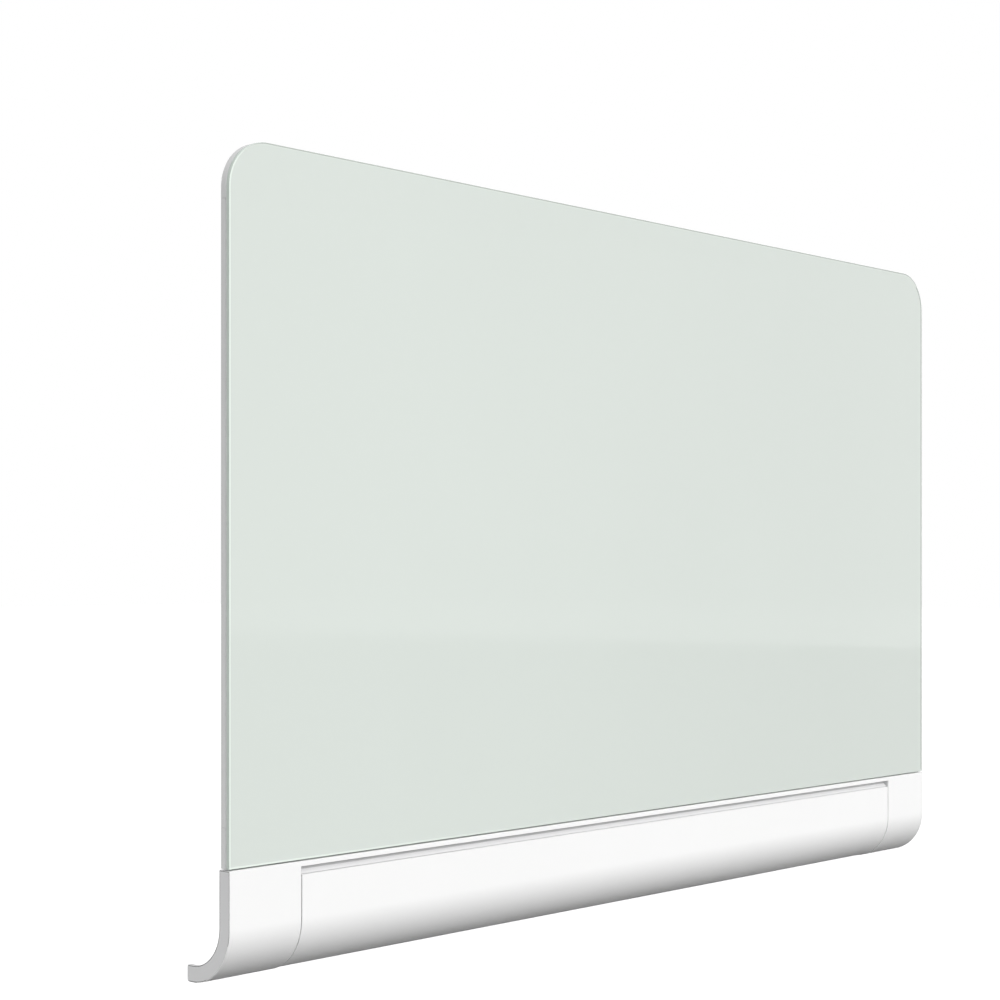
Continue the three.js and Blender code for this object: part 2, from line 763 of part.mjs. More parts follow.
// End plate of the tray, notched over its back wall
function endPlateShape() {
  const front = trayFront + traySkin + fit;
  const bottom = trayBottom + traySkin + fit;
  const top = trayTop - endPlateTopDrop;
  const notch = backWallFront - fit;
  const shape = new THREE.Shape();
  shape.moveTo(notch, bottom);
  shape.lineTo(trayBendY, bottom);
  shape.absarc(trayBendY, bendZ, trayRadius - traySkin - fit, -Math.PI / 2, -Math.PI, true);
  shape.lineTo(front, top);
  shape.lineTo(front + endPlateTopDepth, top);
  shape.lineTo(-endPlateBackGap, bendZ + endPlateBackRise);
  shape.lineTo(-endPlateBackGap, backWallTop + fit);
  shape.lineTo(notch, backWallTop + fit);
  shape.closePath();
  shape.holes.push(circleHole(pivot.y, pivot.z, pinRadius + fit));
  shape.holes.push(...ports.map(({ y, z }) => circleHole(y, z, tinyScrewRadius + fit)));
  shape.holes.push(stopSlot());
  return shape;
}

// Flat head screw along X, with its head at the end plate's outer face
function tinyScrew() {
  return turnedX([
    [0, -tinyScrewLength],
    [tinyScrewRadius, -tinyScrewLength],
    [tinyScrewRadius, 0],
    [tinyScrewHeadRadius, 0],
    [tinyScrewHeadRadius, tinyScrewHeadHeight],
    [0, tinyScrewHeadHeight],
  ]);
}

// Pin with its head inside the tray, and a groove for the clip near its tail
function pivotPin() {
  const neck = pinRadius - grooveDepth;
  return turnedX([
    [0, pinStart],
    [pinHeadRadius, pinStart],
    [pinHeadRadius, pinStart + pinHeadThickness],
    [pinRadius, pinStart + pinHeadThickness],
    [pinRadius, clipStart - seat],
    [neck, clipStart - seat],
    [neck, clipEnd + seat],
    [pinRadius, clipEnd + seat],
    [pinRadius, pinEnd],
    [0, pinEnd],
  ]);
}

// Flanged bush that lines the side bracket's hole
function pivotBush() {
  const bore = pinRadius + fit;
  const flangeEnd = bushStart + bushFlangeThickness;
  return turnedX([
    [bore, bushStart],
    [bushFlangeRadius, bushStart],
    [bushFlangeRadius, flangeEnd],
    [bushRadius, flangeEnd],
    [bushRadius, bushEnd],
    [bore, bushEnd],
    [bore, bushStart],
  ]);
}

// Open ring that snaps into the pin's groove
function clipGeometry() {
  const ring = barX(clipRadius, clipStart, clipEnd, pivot.y, pivot.z);
  const start = clipStart - overrun;
  const end = clipEnd + overrun;
  const bore = barX(pinRadius - grooveDepth + fit, start, end, pivot.y, pivot.z);
  const front = pivot.y - clipRadius - overrun;
  const half = clipMouth / 2;
  const mouth = block(start, end, front, pivot.y, pivot.z - half, pivot.z + half);
  return cut(ring, bore, mouth);
}

// Fixed pin that runs in the end plate's slot
function stopPin() {
  const inner = endPlateInner - stopReach;
  const headStart = bracketOuter + seat;
  const headEnd = headStart + stopHeadThickness;
  return turnedX([
    [0, inner],
    [stopPinRadius, inner],
    [stopPinRadius, headStart],
    [stopHeadRadius, headStart],
    [stopHeadRadius, headEnd],
    [0, headEnd],
  ]);
}

// Magnet behind the strip, and the steel plate that it holds on the tray's finger lip
function addCatch(group, name) {
  const strikeFront = fingerLipBack + seat;
  const strikeBack = strikeFront + strikeThickness;
  const strikeBottom = fingerLipTop - strikeHeight;
  const strike = block(catchStart, catchEnd, strikeFront, strikeBack, strikeBottom, fingerLipTop);
  addPiece(group, "strike_plate_" + name, strike, finishes.zinc);
  const magnetTop = fasciaTop - skinThickness - fit;
  const magnetBottom = magnetTop - magnetHeight;
  const magnetFront = strikeBack + fit;
  const magnetBack = bandBack - skinThickness - seat;
  const magnet = block(catchStart, catchEnd, magnetFront, magnetBack, magnetBottom, magnetTop);
  addPiece(group, "magnet_" + name, magnet, finishes.ferrite);
}

function tray() {
  const group = new THREE.Group();
  addPiece(group, "tray_panel", trayGeometry(), finishes.lacquer);
  addPiece(group, "tray_lip", sweepX(trayLipShape(), -trayEnd, 2 * trayEnd, bendSteps), finishes.lacquer);
  addPiece(group, "tray_back", trayBackGeometry(), finishes.lacquer);

  bothSides(group, (sideGroup, name) => {
    const plate = sweepX(endPlateShape(), endPlateInner, endPlateThickness, bendSteps);
    addPiece(sideGroup, "tray_end_" + name, plate, finishes.trayPlastic);
    ports.forEach(({ y, z }, i) => {
      const screwName = "tray_screw_" + name + "_" + (i + 1);
      const screw = addPiece(sideGroup, screwName, tinyScrew(), finishes.screwSteel);
      screw.position.set(endPlateOuter + seat, y, z);
    });

    const pin = addPiece(sideGroup, "pivot_pin_" + name, pivotPin(), finishes.pinSteel);
    pin.position.set(0, pivot.y, pivot.z);
    const bush = addPiece(sideGroup, "pivot_bush_" + name, pivotBush(), finishes.nylon);
    bush.position.set(0, pivot.y, pivot.z);
    addPiece(sideGroup, "pivot_clip_" + name, clipGeometry(), finishes.pinSteel);
    const stopper = addPiece(sideGroup, "stop_pin_" + name, stopPin(), finishes.pinSteel);
    stopper.position.set(0, stop.y, stop.z);
    addCatch(sideGroup, name);
  });
  return group;
}

const board = new THREE.Group();
board.add(writingPanel(), wallFixings(), lowerSection(), tray());

export default board;
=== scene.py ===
import math

import bmesh
import bpy
from mathutils import Matrix, Vector


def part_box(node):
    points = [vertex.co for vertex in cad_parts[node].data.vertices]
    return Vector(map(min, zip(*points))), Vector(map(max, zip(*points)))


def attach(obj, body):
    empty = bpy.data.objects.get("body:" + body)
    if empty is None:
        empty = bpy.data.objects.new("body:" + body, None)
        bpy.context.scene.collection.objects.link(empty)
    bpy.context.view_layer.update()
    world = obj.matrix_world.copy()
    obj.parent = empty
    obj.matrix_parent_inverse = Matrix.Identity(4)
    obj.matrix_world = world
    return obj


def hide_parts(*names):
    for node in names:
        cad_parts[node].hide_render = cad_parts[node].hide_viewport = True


# Wall-mounted glass whiteboard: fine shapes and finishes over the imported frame, light and camera
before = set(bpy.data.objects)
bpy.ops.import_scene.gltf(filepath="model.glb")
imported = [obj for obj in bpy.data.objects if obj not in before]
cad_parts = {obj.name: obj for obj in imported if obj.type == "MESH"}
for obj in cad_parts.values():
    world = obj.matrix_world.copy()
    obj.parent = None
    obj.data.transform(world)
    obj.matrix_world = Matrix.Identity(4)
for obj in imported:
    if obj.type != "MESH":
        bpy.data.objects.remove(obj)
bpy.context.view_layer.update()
scene = bpy.context.scene
tiny = 1e-5  # points closer than this are the same place
oneFace = math.radians(1)  # faces that turn less than this are one face
facing = 0.9  # a normal this far along an axis faces that way
squarely = 0.999  # and this far, squarely
sides = {"left": -1, "right": 1}
noiseRange = (0.3, 0.7)  # where most values of a noise texture lie
print("frame loaded,", len(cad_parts), "nodes")


# Node helpers for the finishes
def addNode(material, kind, inputs=None, **settings):
    node = material.node_tree.nodes.new(kind)
    for name, value in settings.items():
        setattr(node, name, value)
    for name, value in (inputs or {}).items():
        node.inputs[name].default_value = value
    return node


def shaderOf(material):
    return material.node_tree.nodes["Principled BSDF"]


def newMaterial(name, look):
    material = bpy.data.materials.new(name)
    material.use_nodes = True
    sockets = shaderOf(material).inputs
    sockets["Base Color"].default_value = (*look["colour"], 1)
    sockets["Roughness"].default_value = look["roughness"]
    sockets["Metallic"].default_value = look.get("metallic", 0)
    sockets["IOR"].default_value = 1.5
    sockets["Specular IOR Level"].default_value = look.get("specular", 0.5)
    return material


def pattern(material, kind, inputs, stretch=(1, 1, 1)):
    # texture in the object's own coordinates, finer along the axes with a large stretch
    links = material.node_tree.links
    place = addNode(material, "ShaderNodeTexCoord")
    mapping = addNode(material, "ShaderNodeMapping", {"Scale": stretch})
    texture = addNode(material, kind, inputs)
    links.new(place.outputs["Object"], mapping.inputs["Vector"])
    links.new(mapping.outputs["Vector"], texture.inputs["Vector"])
    return texture


def varyColour(material, factor, low, high, span=noiseRange):
    # colour between low and high while the factor goes through the span
    ramp = addNode(material, "ShaderNodeValToRGB")
    first, last = ramp.color_ramp.elements
    first.position, last.position = span
    first.color, last.color = (*low, 1), (*high, 1)
    material.node_tree.links.new(factor, ramp.inputs["Fac"])
    material.node_tree.links.new(ramp.outputs["Color"], shaderOf(material).inputs["Base Color"])
    return ramp.outputs["Color"]


def varyRoughness(material, factor, low, high):
    start, end = noiseRange
    limits = {"From Min": start, "From Max": end, "To Min": low, "To Max": high}
    spread = addNode(material, "ShaderNodeMapRange", limits)
    material.node_tree.links.new(factor, spread.inputs["Value"])
    material.node_tree.links.new(spread.outputs["Result"], shaderOf(material).inputs["Roughness"])


def addBump(material, height, strength, distance):
    bump = addNode(material, "ShaderNodeBump", {"Strength": strength, "Distance": distance})
    material.node_tree.links.new(height, bump.inputs["Height"])
    material.node_tree.links.new(bump.outputs["Normal"], shaderOf(material).inputs["Normal"])


def tintBy(material, tone, attribute, span, colour):
    # mixes a second colour in while a float attribute of the mesh goes through the span
    links = material.node_tree.links
    share = addNode(material, "ShaderNodeAttribute", attribute_name=attribute)
    limits = {"From Min": span[0], "From Max": span[1]}
    edge = addNode(material, "ShaderNodeMapRange", limits, clamp=True)
    mix = addNode(material, "ShaderNodeMix", data_type="RGBA")
    mix.inputs[7].default_value = (*colour, 1)
    links.new(share.outputs["Fac"], edge.inputs["Value"])
    links.new(edge.outputs["Result"], mix.inputs[0])
    links.new(tone, mix.inputs[6])
    links.new(mix.outputs[2], shaderOf(material).inputs["Base Color"])


def shade(colour, share):
    return tuple(channel * share for channel in colour)


# Finishes. Patterns are in metres: a scale of 1000 gives marks about 1 mm across
glassLook = {
    "colour": (0.675, 0.727, 0.684),
    "farShade": 0.935,
    "toneSlope": -0.5,
    "toneMiddle": 0.4,
    "toneCloud": 0.2,
    "rimColour": (0.83, 0.905, 0.84),
    "rimSpan": (0.4, 0.95),
    "roughness": 0.035,
    "specular": 0.4,
    "smudgeScale": 3.0,
    "smudgeRoughness": 0.06,
}


def backPaintedGlass():
    # painted shade: the tone falls a little along X, darker towards the right, with a faint cloud in it
    look = glassLook
    material = newMaterial("backPaintedGlass", look)
    links = material.node_tree.links
    smudge = pattern(material, "ShaderNodeTexNoise", {"Scale": look["smudgeScale"], "Detail": 5.0})
    place = addNode(material, "ShaderNodeTexCoord")
    across = addNode(material, "ShaderNodeSeparateXYZ")
    line = {1: look["toneSlope"], 2: look["toneMiddle"]}
    slope = addNode(material, "ShaderNodeMath", line, operation="MULTIPLY_ADD")
    cloud = addNode(material, "ShaderNodeMath", {1: look["toneCloud"]}, operation="MULTIPLY_ADD")
    links.new(place.outputs["Object"], across.inputs["Vector"])
    links.new(across.outputs["X"], slope.inputs[0])
    links.new(smudge.outputs["Fac"], cloud.inputs[0])
    links.new(slope.outputs["Value"], cloud.inputs[2])
    # painted shade: the tone at the right end
    shadedRight = shade(look["colour"], look["farShade"])
    tone = varyColour(material, cloud.outputs["Value"], shadedRight, look["colour"])
    varyRoughness(material, smudge.outputs["Fac"], look["roughness"], look["smudgeRoughness"])
    # painted highlight: pale rim, by the mesh's rim attribute
    tintBy(material, tone, "rim", look["rimSpan"], look["rimColour"])
    return material


glassEdgeLook = {
    "colour": (0.53, 0.60, 0.55),
    "roughness": 0.12,
    "streakRoughness": 0.24,
    "streakScale": 400.0,
    "streakStretch": (0.05, 1, 0.05),
    "streakShade": 0.94,
}
# dark line at the glass's border, as painted shade
glassBorderShadeLook = {**glassEdgeLook, "colour": (0.36, 0.395, 0.37), "streakScale": 250.0}


def polishedGlass(name, look):
    # streaks of the grinding, and the colour of the glass's face where the mesh says that the painted shade
    # line fades
    material = newMaterial(name, look)
    detail = {"Scale": look["streakScale"], "Detail": 3.0}
    streak = pattern(material, "ShaderNodeTexNoise", detail, look["streakStretch"])
    dull = shade(look["colour"], look["streakShade"])
    tone = varyColour(material, streak.outputs["Fac"], dull, look["colour"])
    tintBy(material, tone, "fade", (0, 1), glassLook["colour"])
    varyRoughness(material, streak.outputs["Fac"], look["roughness"], look["streakRoughness"])
    return material


lacquerLook = {
    "colour": (0.93, 0.93, 0.927),
    "roughness": 0.55,
    "specular": 0.03,
    "roughnessSpread": 0.04,
    "cloudScale": 9.0,
    "cloudShade": 0.992,
    "peelScale": 650.0,
    "peelDepth": 0.00004,
    "peelStrength": 0.25,
}
# copies of the white lacquer darkened as painted shade in the slot, and as painted shadow under the strip
lipSlotShadeLook = {**lacquerLook, "colour": (0.78, 0.78, 0.785)}
lipFlangeShadowLook = {**lacquerLook, "colour": (0.55, 0.55, 0.555)}


def paintedLacquer(name, look):
    material = newMaterial(name, look)
    peel = pattern(material, "ShaderNodeTexNoise", {"Scale": look["peelScale"], "Detail": 2.0})
    cloud = pattern(material, "ShaderNodeTexNoise", {"Scale": look["cloudScale"], "Detail": 3.0})
    spread = look["roughnessSpread"]
    varyColour(material, cloud.outputs["Fac"], shade(look["colour"], look["cloudShade"]), look["colour"])
    varyRoughness(material, cloud.outputs["Fac"], look["roughness"] - spread, look["roughness"] + spread)
    addBump(material, peel.outputs["Fac"], look["peelStrength"], look["peelDepth"])
    return material


moulding = {"roughnessSpread": 0.06, "cloudScale": 14.0, "cloudShade": 0.97, "grainStrength": 0.35}


def mouldedPlastic(name, look):
    material = newMaterial(name, look)
    detail = {"Scale": look["grainScale"], "Detail": 3.0, "Roughness": 0.6}
    grain = pattern(material, "ShaderNodeTexNoise", detail)
    cloud = pattern(material, "ShaderNodeTexNoise", {"Scale": moulding["cloudScale"], "Detail": 3.0})
    spread = moulding["roughnessSpread"]
    varyColour(material, cloud.outputs["Fac"], shade(look["colour"], moulding["cloudShade"]), look["colour"])
    varyRoughness(material, grain.outputs["Fac"], look["roughness"] - spread, look["roughness"] + spread)
    addBump(material, grain.outputs["Fac"], moulding["grainStrength"], look["grainDepth"])
    return material


capLook = {
    "colour": (0.705, 0.707, 0.71),
    "roughness": 0.5,
    "specular": 0.35,
    "grainScale": 1800.0,
    "grainDepth": 0.00006,
}
# near black for the groove round the cap's face, as painted shadow
capGrooveShadowLook = {"colour": (0.1, 0.1, 0.1), "roughness": 0.7, "grainScale": 1200.0, "grainDepth": 0.00006}
cornerLook = {**capLook, "colour": (0.64, 0.645, 0.645)}
trayEndLook = {"colour": (0.86, 0.86, 0.855), "roughness": 0.48, "grainScale": 1600.0, "grainDepth": 0.00007}
nylonLook = {"colour": (0.79, 0.77, 0.70), "roughness": 0.45, "grainScale": 900.0, "grainDepth": 0.00003}
rubberLook = {"colour": (0.030, 0.031, 0.033), "roughness": 0.85, "grainScale": 1200.0, "grainDepth": 0.0001}
ferriteLook = {"colour": (0.055, 0.055, 0.058), "roughness": 0.6, "grainScale": 1400.0, "grainDepth": 0.00008}

brushing = {"smoother": 0.07, "rougher": 0.1, "markShade": 0.9, "markStrength": 0.3, "markDepth": 0.00002}


def brushedMetal(name, look, stretch):
    # brushing or drawing marks, long along the axis with the small stretch
    material = newMaterial(name, look)
    detail = {"Scale": look["markScale"], "Detail": 5.0, "Roughness": 0.65}
    marks = pattern(material, "ShaderNodeTexNoise", detail, stretch)
    low, high = look["roughness"] - brushing["smoother"], look["roughness"] + brushing["rougher"]
    varyColour(material, marks.outputs["Fac"], shade(look["colour"], brushing["markShade"]), look["colour"])
    varyRoughness(material, marks.outputs["Fac"], low, high)
    addBump(material, marks.outputs["Fac"], brushing["markStrength"], brushing["markDepth"])
    return material


anodisedLook = {"colour": (0.485, 0.49, 0.49), "roughness": 0.38, "metallic": 1, "markScale": 900.0}
pinLook = {"colour": (0.60, 0.60, 0.61), "roughness": 0.24, "metallic": 1, "markScale": 1500.0}
screwLook = {"colour": (0.66, 0.67, 0.68), "roughness": 0.3, "metallic": 1, "markScale": 1200.0}
sheetLook = {"colour": (0.62, 0.63, 0.63), "roughness": 0.45, "metallic": 0.3, "markScale": 700.0}
zincLook = {
    "colour": (0.76, 0.77, 0.78),
    "roughness": 0.42,
    "metallic": 0.5,
    "smoother": 0.06,
    "rougher": 0.1,
    "spangleScale": 130.0,
    "spangleShade": 0.84,
    "spangleSpan": (0.15, 0.85),
    "ditherScale": 700.0,
    "ditherStrength": 0.2,
    "ditherDepth": 0.00002,
}


def zincPlate():
    look = zincLook
    material = newMaterial("zincPlate", look)
    spangle = pattern(material, "ShaderNodeTexVoronoi", {"Scale": look["spangleScale"], "Randomness": 1.0})
    dither = pattern(material, "ShaderNodeTexNoise", {"Scale": look["ditherScale"], "Detail": 4.0})
    grey = addNode(material, "ShaderNodeRGBToBW")
    material.node_tree.links.new(spangle.outputs["Color"], grey.inputs["Color"])
    tone = grey.outputs["Val"]
    dark = shade(look["colour"], look["spangleShade"])
    varyColour(material, tone, dark, look["colour"], look["spangleSpan"])
    varyRoughness(material, tone, look["roughness"] - look["smoother"], look["roughness"] + look["rougher"])
    addBump(material, dither.outputs["Fac"], look["ditherStrength"], look["ditherDepth"])
    return material


fibreLook = {
    "colour": (0.34, 0.255, 0.165),
    "roughness": 0.88,
    "shades": (0.72, 1.12),
    "toneSpan": (0.34, 0.66),
    "fleckScale": 900.0,
    "fleckStretch": (0.35, 1, 1),
    "fleckDepth": 0.00015,
    "fleckStrength": 0.5,
    "cloudScale": 6.0,
    "cloudShare": 0.35,
}


def rawFibreBoard():
    look = fibreLook
    material = newMaterial("rawFibreBoard", look)
    links = material.node_tree.links
    detail = {"Scale": look["fleckScale"], "Detail": 6.0, "Roughness": 0.7}
    fleck = pattern(material, "ShaderNodeTexNoise", detail, look["fleckStretch"])
    cloud = pattern(material, "ShaderNodeTexNoise", {"Scale": look["cloudScale"], "Detail": 4.0})
    blend = addNode(material, "ShaderNodeMix", {0: look["cloudShare"]})
    links.new(fleck.outputs["Fac"], blend.inputs[2])
    links.new(cloud.outputs["Fac"], blend.inputs[3])
    low, high = (shade(look["colour"], share) for share in look["shades"])
    varyColour(material, blend.outputs[0], low, high, look["toneSpan"])
    addBump(material, fleck.outputs["Fac"], look["fleckStrength"], look["fleckDepth"])
    return material


glassFace = backPaintedGlass()
glassEdge = polishedGlass("polishedGlassEdge", glassEdgeLook)
glassBorderShade = polishedGlass("unpaintedGlassBorder", glassBorderShadeLook)
lacquer = paintedLacquer("whiteLacquer", lacquerLook)
lipSlotShade = paintedLacquer("paleGreyLacquer", lipSlotShadeLook)
lipFlangeShadow = paintedLacquer("paleGreyLacquerInShade", lipFlangeShadowLook)
capPlastic = mouldedPlastic("greyMouldedPlastic", capLook)
capGrooveShadow = mouldedPlastic("capJointLine", capGrooveShadowLook)
cornerPlastic = mouldedPlastic("silverCornerPlastic", cornerLook)
trayPlastic = mouldedPlastic("whiteMouldedPlastic", trayEndLook)
nylon = mouldedPlastic("naturalNylon", nylonLook)
rubber = mouldedPlastic("padRubber", rubberLook)
ferrite = mouldedPlastic("magnetFerrite", ferriteLook)
anodisedAcross = brushedMetal("anodisedAlongX", anodisedLook, (0.02, 1, 1))
anodisedUpright = brushedMetal("anodisedAlongZ", anodisedLook, (1, 1, 0.02))
sheetSteel = brushedMetal("coatedSheetSteel", sheetLook, (0.03, 1, 1))
screwSteel = brushedMetal("screwSteel", screwLook, (1, 0.3, 1))
pinSteel = brushedMetal("turnedPinSteel", pinLook, (1, 0.1, 0.1))
zinc = zincPlate()
fibre = rawFibreBoard()
print("finishes made")


# Mesh helpers
placeWords = {"left", "centre", "right", "top", "bottom", "upper", "lower"}


def pieceName(node):
    # side_bracket_left becomes sideBracket.left
    words = node.split("_")
    places = [word for word in words if word in placeWords or word.isdigit()]
    kind = [word for word in words if word not in places]
    return ".".join([kind[0] + "".join(word.capitalize() for word in kind[1:])] + places)


def middle(node):
    low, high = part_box(node)
    return (low + high) / 2


def vertsIn(parts):
    return [part for part in parts if isinstance(part, bmesh.types.BMVert)]


def bevelEdges(bm, edges, size, segments):
    bmesh.ops.bevel(
        bm, geom=edges, offset=size, offset_type="OFFSET", segments=segments,
        profile=0.5, affect="EDGES", material=-1,
    )


def extrudeFace(bm, face, move):
    swept = bmesh.ops.extrude_face_region(bm, geom=[face])["geom"]
    bmesh.ops.translate(bm, verts=vertsIn(swept), vec=move)


def edgesInPlane(bm, axis, place):
    def inPlane(vert):
        return abs(getattr(vert.co, axis) - place) < tiny

    return [edge for edge in bm.edges if all(inPlane(vert) for vert in edge.verts)]


def edgesAlongX(bm, y, z):
    # edges that run along X through the point (y, z) of the section
    def onLine(vert):
        return abs(vert.co.y - y) < tiny and abs(vert.co.z - z) < tiny

    return [edge for edge in bm.edges if all(onLine(vert) for vert in edge.verts)]


def sectionAlongX(corners, start, end, rounds):
    # solid from a few corner points (y, z), swept from x = start to end, with rounds at some corners
    bm = bmesh.new()
    face = bm.faces.new([bm.verts.new((start, y, z)) for y, z in corners])
    extrudeFace(bm, face, (end - start, 0, 0))
    for corner, radius, segments in rounds:
        bevelEdges(bm, edgesAlongX(bm, *corner), radius, segments)
    bmesh.ops.recalc_face_normals(bm, faces=bm.faces)
    return bm


def turnProfile(bm, profile, axis, centre, steps):
    # full spin of a wire of points round an axis, welded at the poles
    verts = [bm.verts.new(point) for point in profile]
    edges = [bm.edges.new(pair) for pair in zip(verts, verts[1:])]
    bmesh.ops.spin(
        bm, geom=verts + edges, cent=centre, axis=axis, dvec=(0, 0, 0),
        angle=2 * math.pi, steps=steps, use_merge=True, use_normal_flip=False, use_duplicate=False,
    )
    bmesh.ops.remove_doubles(bm, verts=bm.verts, dist=tiny / 10)


def crispEdges(bm, angle=45):
    # corners that stay corners where no soft edge is put on them
    for edge in bm.edges:
        if len(edge.link_faces) == 2 and edge.calc_face_angle(0) > math.radians(angle):
            edge.smooth = False


def placePiece(bm, name, body, nodes, materials):
    mesh = bpy.data.meshes.new(name)
    for face in bm.faces:
        face.smooth = True
    bm.to_mesh(mesh)
    bm.free()
    for material in materials:
        mesh.materials.append(material)
    piece = bpy.data.objects.new(name, mesh)
    scene.collection.objects.link(piece)
    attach(piece, body)
    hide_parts(*nodes)
    return piece


def flatFaces(piece):
    # large faces stay flat in shade and only the small ones turn
    normals = piece.modifiers.new("flatFaces", "WEIGHTED_NORMAL")
    normals.keep_sharp = True


def softenEdges(piece, size, segments=2, angle=35):
    bevel = piece.modifiers.new("softEdges", "BEVEL")
    bevel.width = size
    bevel.segments = segments
    bevel.limit_method = "ANGLE"
    bevel.angle_limit = math.radians(angle)
    flatFaces(piece)


def softenedCopy(node, body, material, size, segments=2, reach=0, name=None):
    # welded copy of a CAD node whose shape is right, with soft edges and its Z ends a reach further out
    bm = bmesh.new()
    bm.from_mesh(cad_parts[node].data)
    bmesh.ops.remove_doubles(bm, verts=bm.verts, dist=tiny)
    low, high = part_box(node)
    for vert in bm.verts:
        if abs(vert.co.z - high.z) < tiny:
            vert.co.z += reach
        if abs(vert.co.z - low.z) < tiny:
            vert.co.z -= reach
    bmesh.ops.dissolve_limit(bm, angle_limit=oneFace, verts=bm.verts, edges=bm.edges)
    piece = placePiece(bm, name or pieceName(node), body, [node], [material])
    softenEdges(piece, size, segments)


# Glass and the sheet behind it
glassSizes = {
    "cornerRadius": 0.049,
    "cornerSteps": 24,
    "arris": 0.0004,
    "arrisSteps": 3,
    "borderWidth": 0.001,
    "rimWidth": 0.002,
    "rightStart": 0.7,
    "fadeStart": 0.3,
    "fadeEnd": 0.6,
    "lowerRim": {-1: 0.95, 1: -0.6},  # at the left and at the right
    "sideRim": {-1: 1.0, 1: 0.5},
    "sheetReach": 0.00045,
    "sheetSwell": 1.5,
    "sheetEdge": 0.0001,
}
glassFinishes = [glassFace, glassEdge, glassBorderShade]
painted, polished, borderShade = range(3)  # places in that list


def roundedPanel(node, radius):
    # rectangle swept along Y, with its two top corners rounded
    low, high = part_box(node)
    corners = [(low.x, low.z), (high.x, low.z), (high.x, high.z), (low.x, high.z)]
    bm = bmesh.new()
    front = bm.faces.new([bm.verts.new((x, low.y, z)) for x, z in corners])
    extrudeFace(bm, front, (0, high.y - low.y, 0))
    topCorners = [
        edge for edge in edgesInPlane(bm, "z", high.z)
        if abs(edge.verts[0].co.x - edge.verts[1].co.x) < tiny
    ]
    bevelEdges(bm, topCorners, radius, glassSizes["cornerSteps"])
    bmesh.ops.recalc_face_normals(bm, faces=bm.faces)
    return bm


def insetRings(bm, face, widths):
    # rings of faces round a flat face, each one inside the last
    rings = []
    for width in widths:
        ring = bmesh.ops.inset_region(bm, faces=[face], thickness=width, use_even_offset=True)["faces"]
        face = max(ring + [face], key=lambda part: part.calc_area())
        rings.append([part for part in ring if part != face])
    return rings


def sideShare(point, high):
    # 0 along the top edge and 1 along the sides, and in between round the corners
    radius = glassSizes["cornerRadius"]
    across = max(abs(point.x) - (high.x - radius), 0)
    up = max(point.z - (high.z - radius), 0)
    return across / max(math.hypot(across, up), tiny)


def drawBorderShade(rings, low, high):
    # painted shade: a dark line along the top, and one ring further in along the right
    for ring, atRight in zip(rings, (False, True)):
        for face in ring:
            centre = face.calc_center_median()
            share = sideShare(centre, high)
            right = centre.x > 0 and share > glassSizes["rightStart"]
            left = centre.x < 0 and share > glassSizes["fadeEnd"]
            if centre.z > low.z + 2 * glassSizes["rimWidth"] and right == atRight and not left:
                face.material_index = borderShade


def markRimHighlight(ring, rim, low, high):
    # painted highlight: a pale rim where light gets in, along the sides and along the lower edge
    for vert in {vert for face in ring for vert in face.verts}:
        side = -1 if vert.co.x < 0 else 1
        lower = vert.co.z < low.z + 2 * glassSizes["rimWidth"]
        below = lower and abs(vert.co.x) < high.x - glassSizes["rimWidth"] / 2
        share = glassSizes["lowerRim"] if below else glassSizes["sideRim"]
        vert[rim] = share[side] * (1 if below else sideShare(vert.co, high))


def markFade(ring, fade, high):
    # the painted shade line along the top fades towards and round the left corner
    start, end = glassSizes["fadeStart"], glassSizes["fadeEnd"]
    for vert in {vert for face in ring if face.material_index == borderShade for vert in face.verts}:
        if vert.co.x < 0:
            vert[fade] = start + (1 - start) * min(sideShare(vert.co, high) / end, 1)


def makeGlass():
    low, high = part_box("glass_panel")
    bm = roundedPanel("glass_panel", glassSizes["cornerRadius"])
    outline = edgesInPlane(bm, "y", low.y) + edgesInPlane(bm, "y", high.y)
    bevelEdges(bm, outline, glassSizes["arris"], glassSizes["arrisSteps"])
    for face in bm.faces:
        face.material_index = painted if abs(face.normal.y) > squarely else polished
    # the rim attribute carries the painted highlight
    rim = bm.verts.layers.float.new("rim")
    fade = bm.verts.layers.float.new("fade")
    front = min(bm.faces, key=lambda face: (round(face.calc_center_median().y, 5), -face.calc_area()))
    rings = insetRings(bm, front, (glassSizes["borderWidth"], glassSizes["rimWidth"]))
    drawBorderShade(rings, low, high)
    markRimHighlight(rings[0], rim, low, high)
    markFade(rings[0], fade, high)
    crispEdges(bm)
    glass = placePiece(bm, "glassPanel", "board", ["glass_panel"], glassFinishes)
    flatFaces(glass)


def makeSheet():
    # reaches a little further out than the CAD's sheet and is a little thicker
    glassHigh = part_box("glass_panel")[1]
    low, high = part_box("steel_sheet")
    bm = roundedPanel("steel_sheet", glassSizes["cornerRadius"] - (glassHigh.x - high.x))
    reach = glassSizes["sheetReach"]
    bmesh.ops.scale(bm, vec=((high.x + reach) / high.x, 1, 1), verts=bm.verts)
    upper = [vert for vert in bm.verts if vert.co.z > low.z + tiny]
    bmesh.ops.translate(bm, vec=(0, 0, reach), verts=upper)
    middlePlane = (low.y + high.y) / 2
    bmesh.ops.translate(bm, vec=(0, -middlePlane, 0), verts=bm.verts)
    bmesh.ops.scale(bm, vec=(1, glassSizes["sheetSwell"], 1), verts=bm.verts)
    bmesh.ops.translate(bm, vec=(0, middlePlane, 0), verts=bm.verts)
    sheet = placePiece(bm, "steelSheet", "board", ["steel_sheet"], [sheetSteel])
    softenEdges(sheet, glassSizes["sheetEdge"], 1)


makeGlass()
makeSheet()
print("glass and sheet made")

# Frame round the core
frameSizes = {"edge": 0.0002, "coreEdge": 0.0003, "jointReach": 0.00022, "cornerSteps": 3}


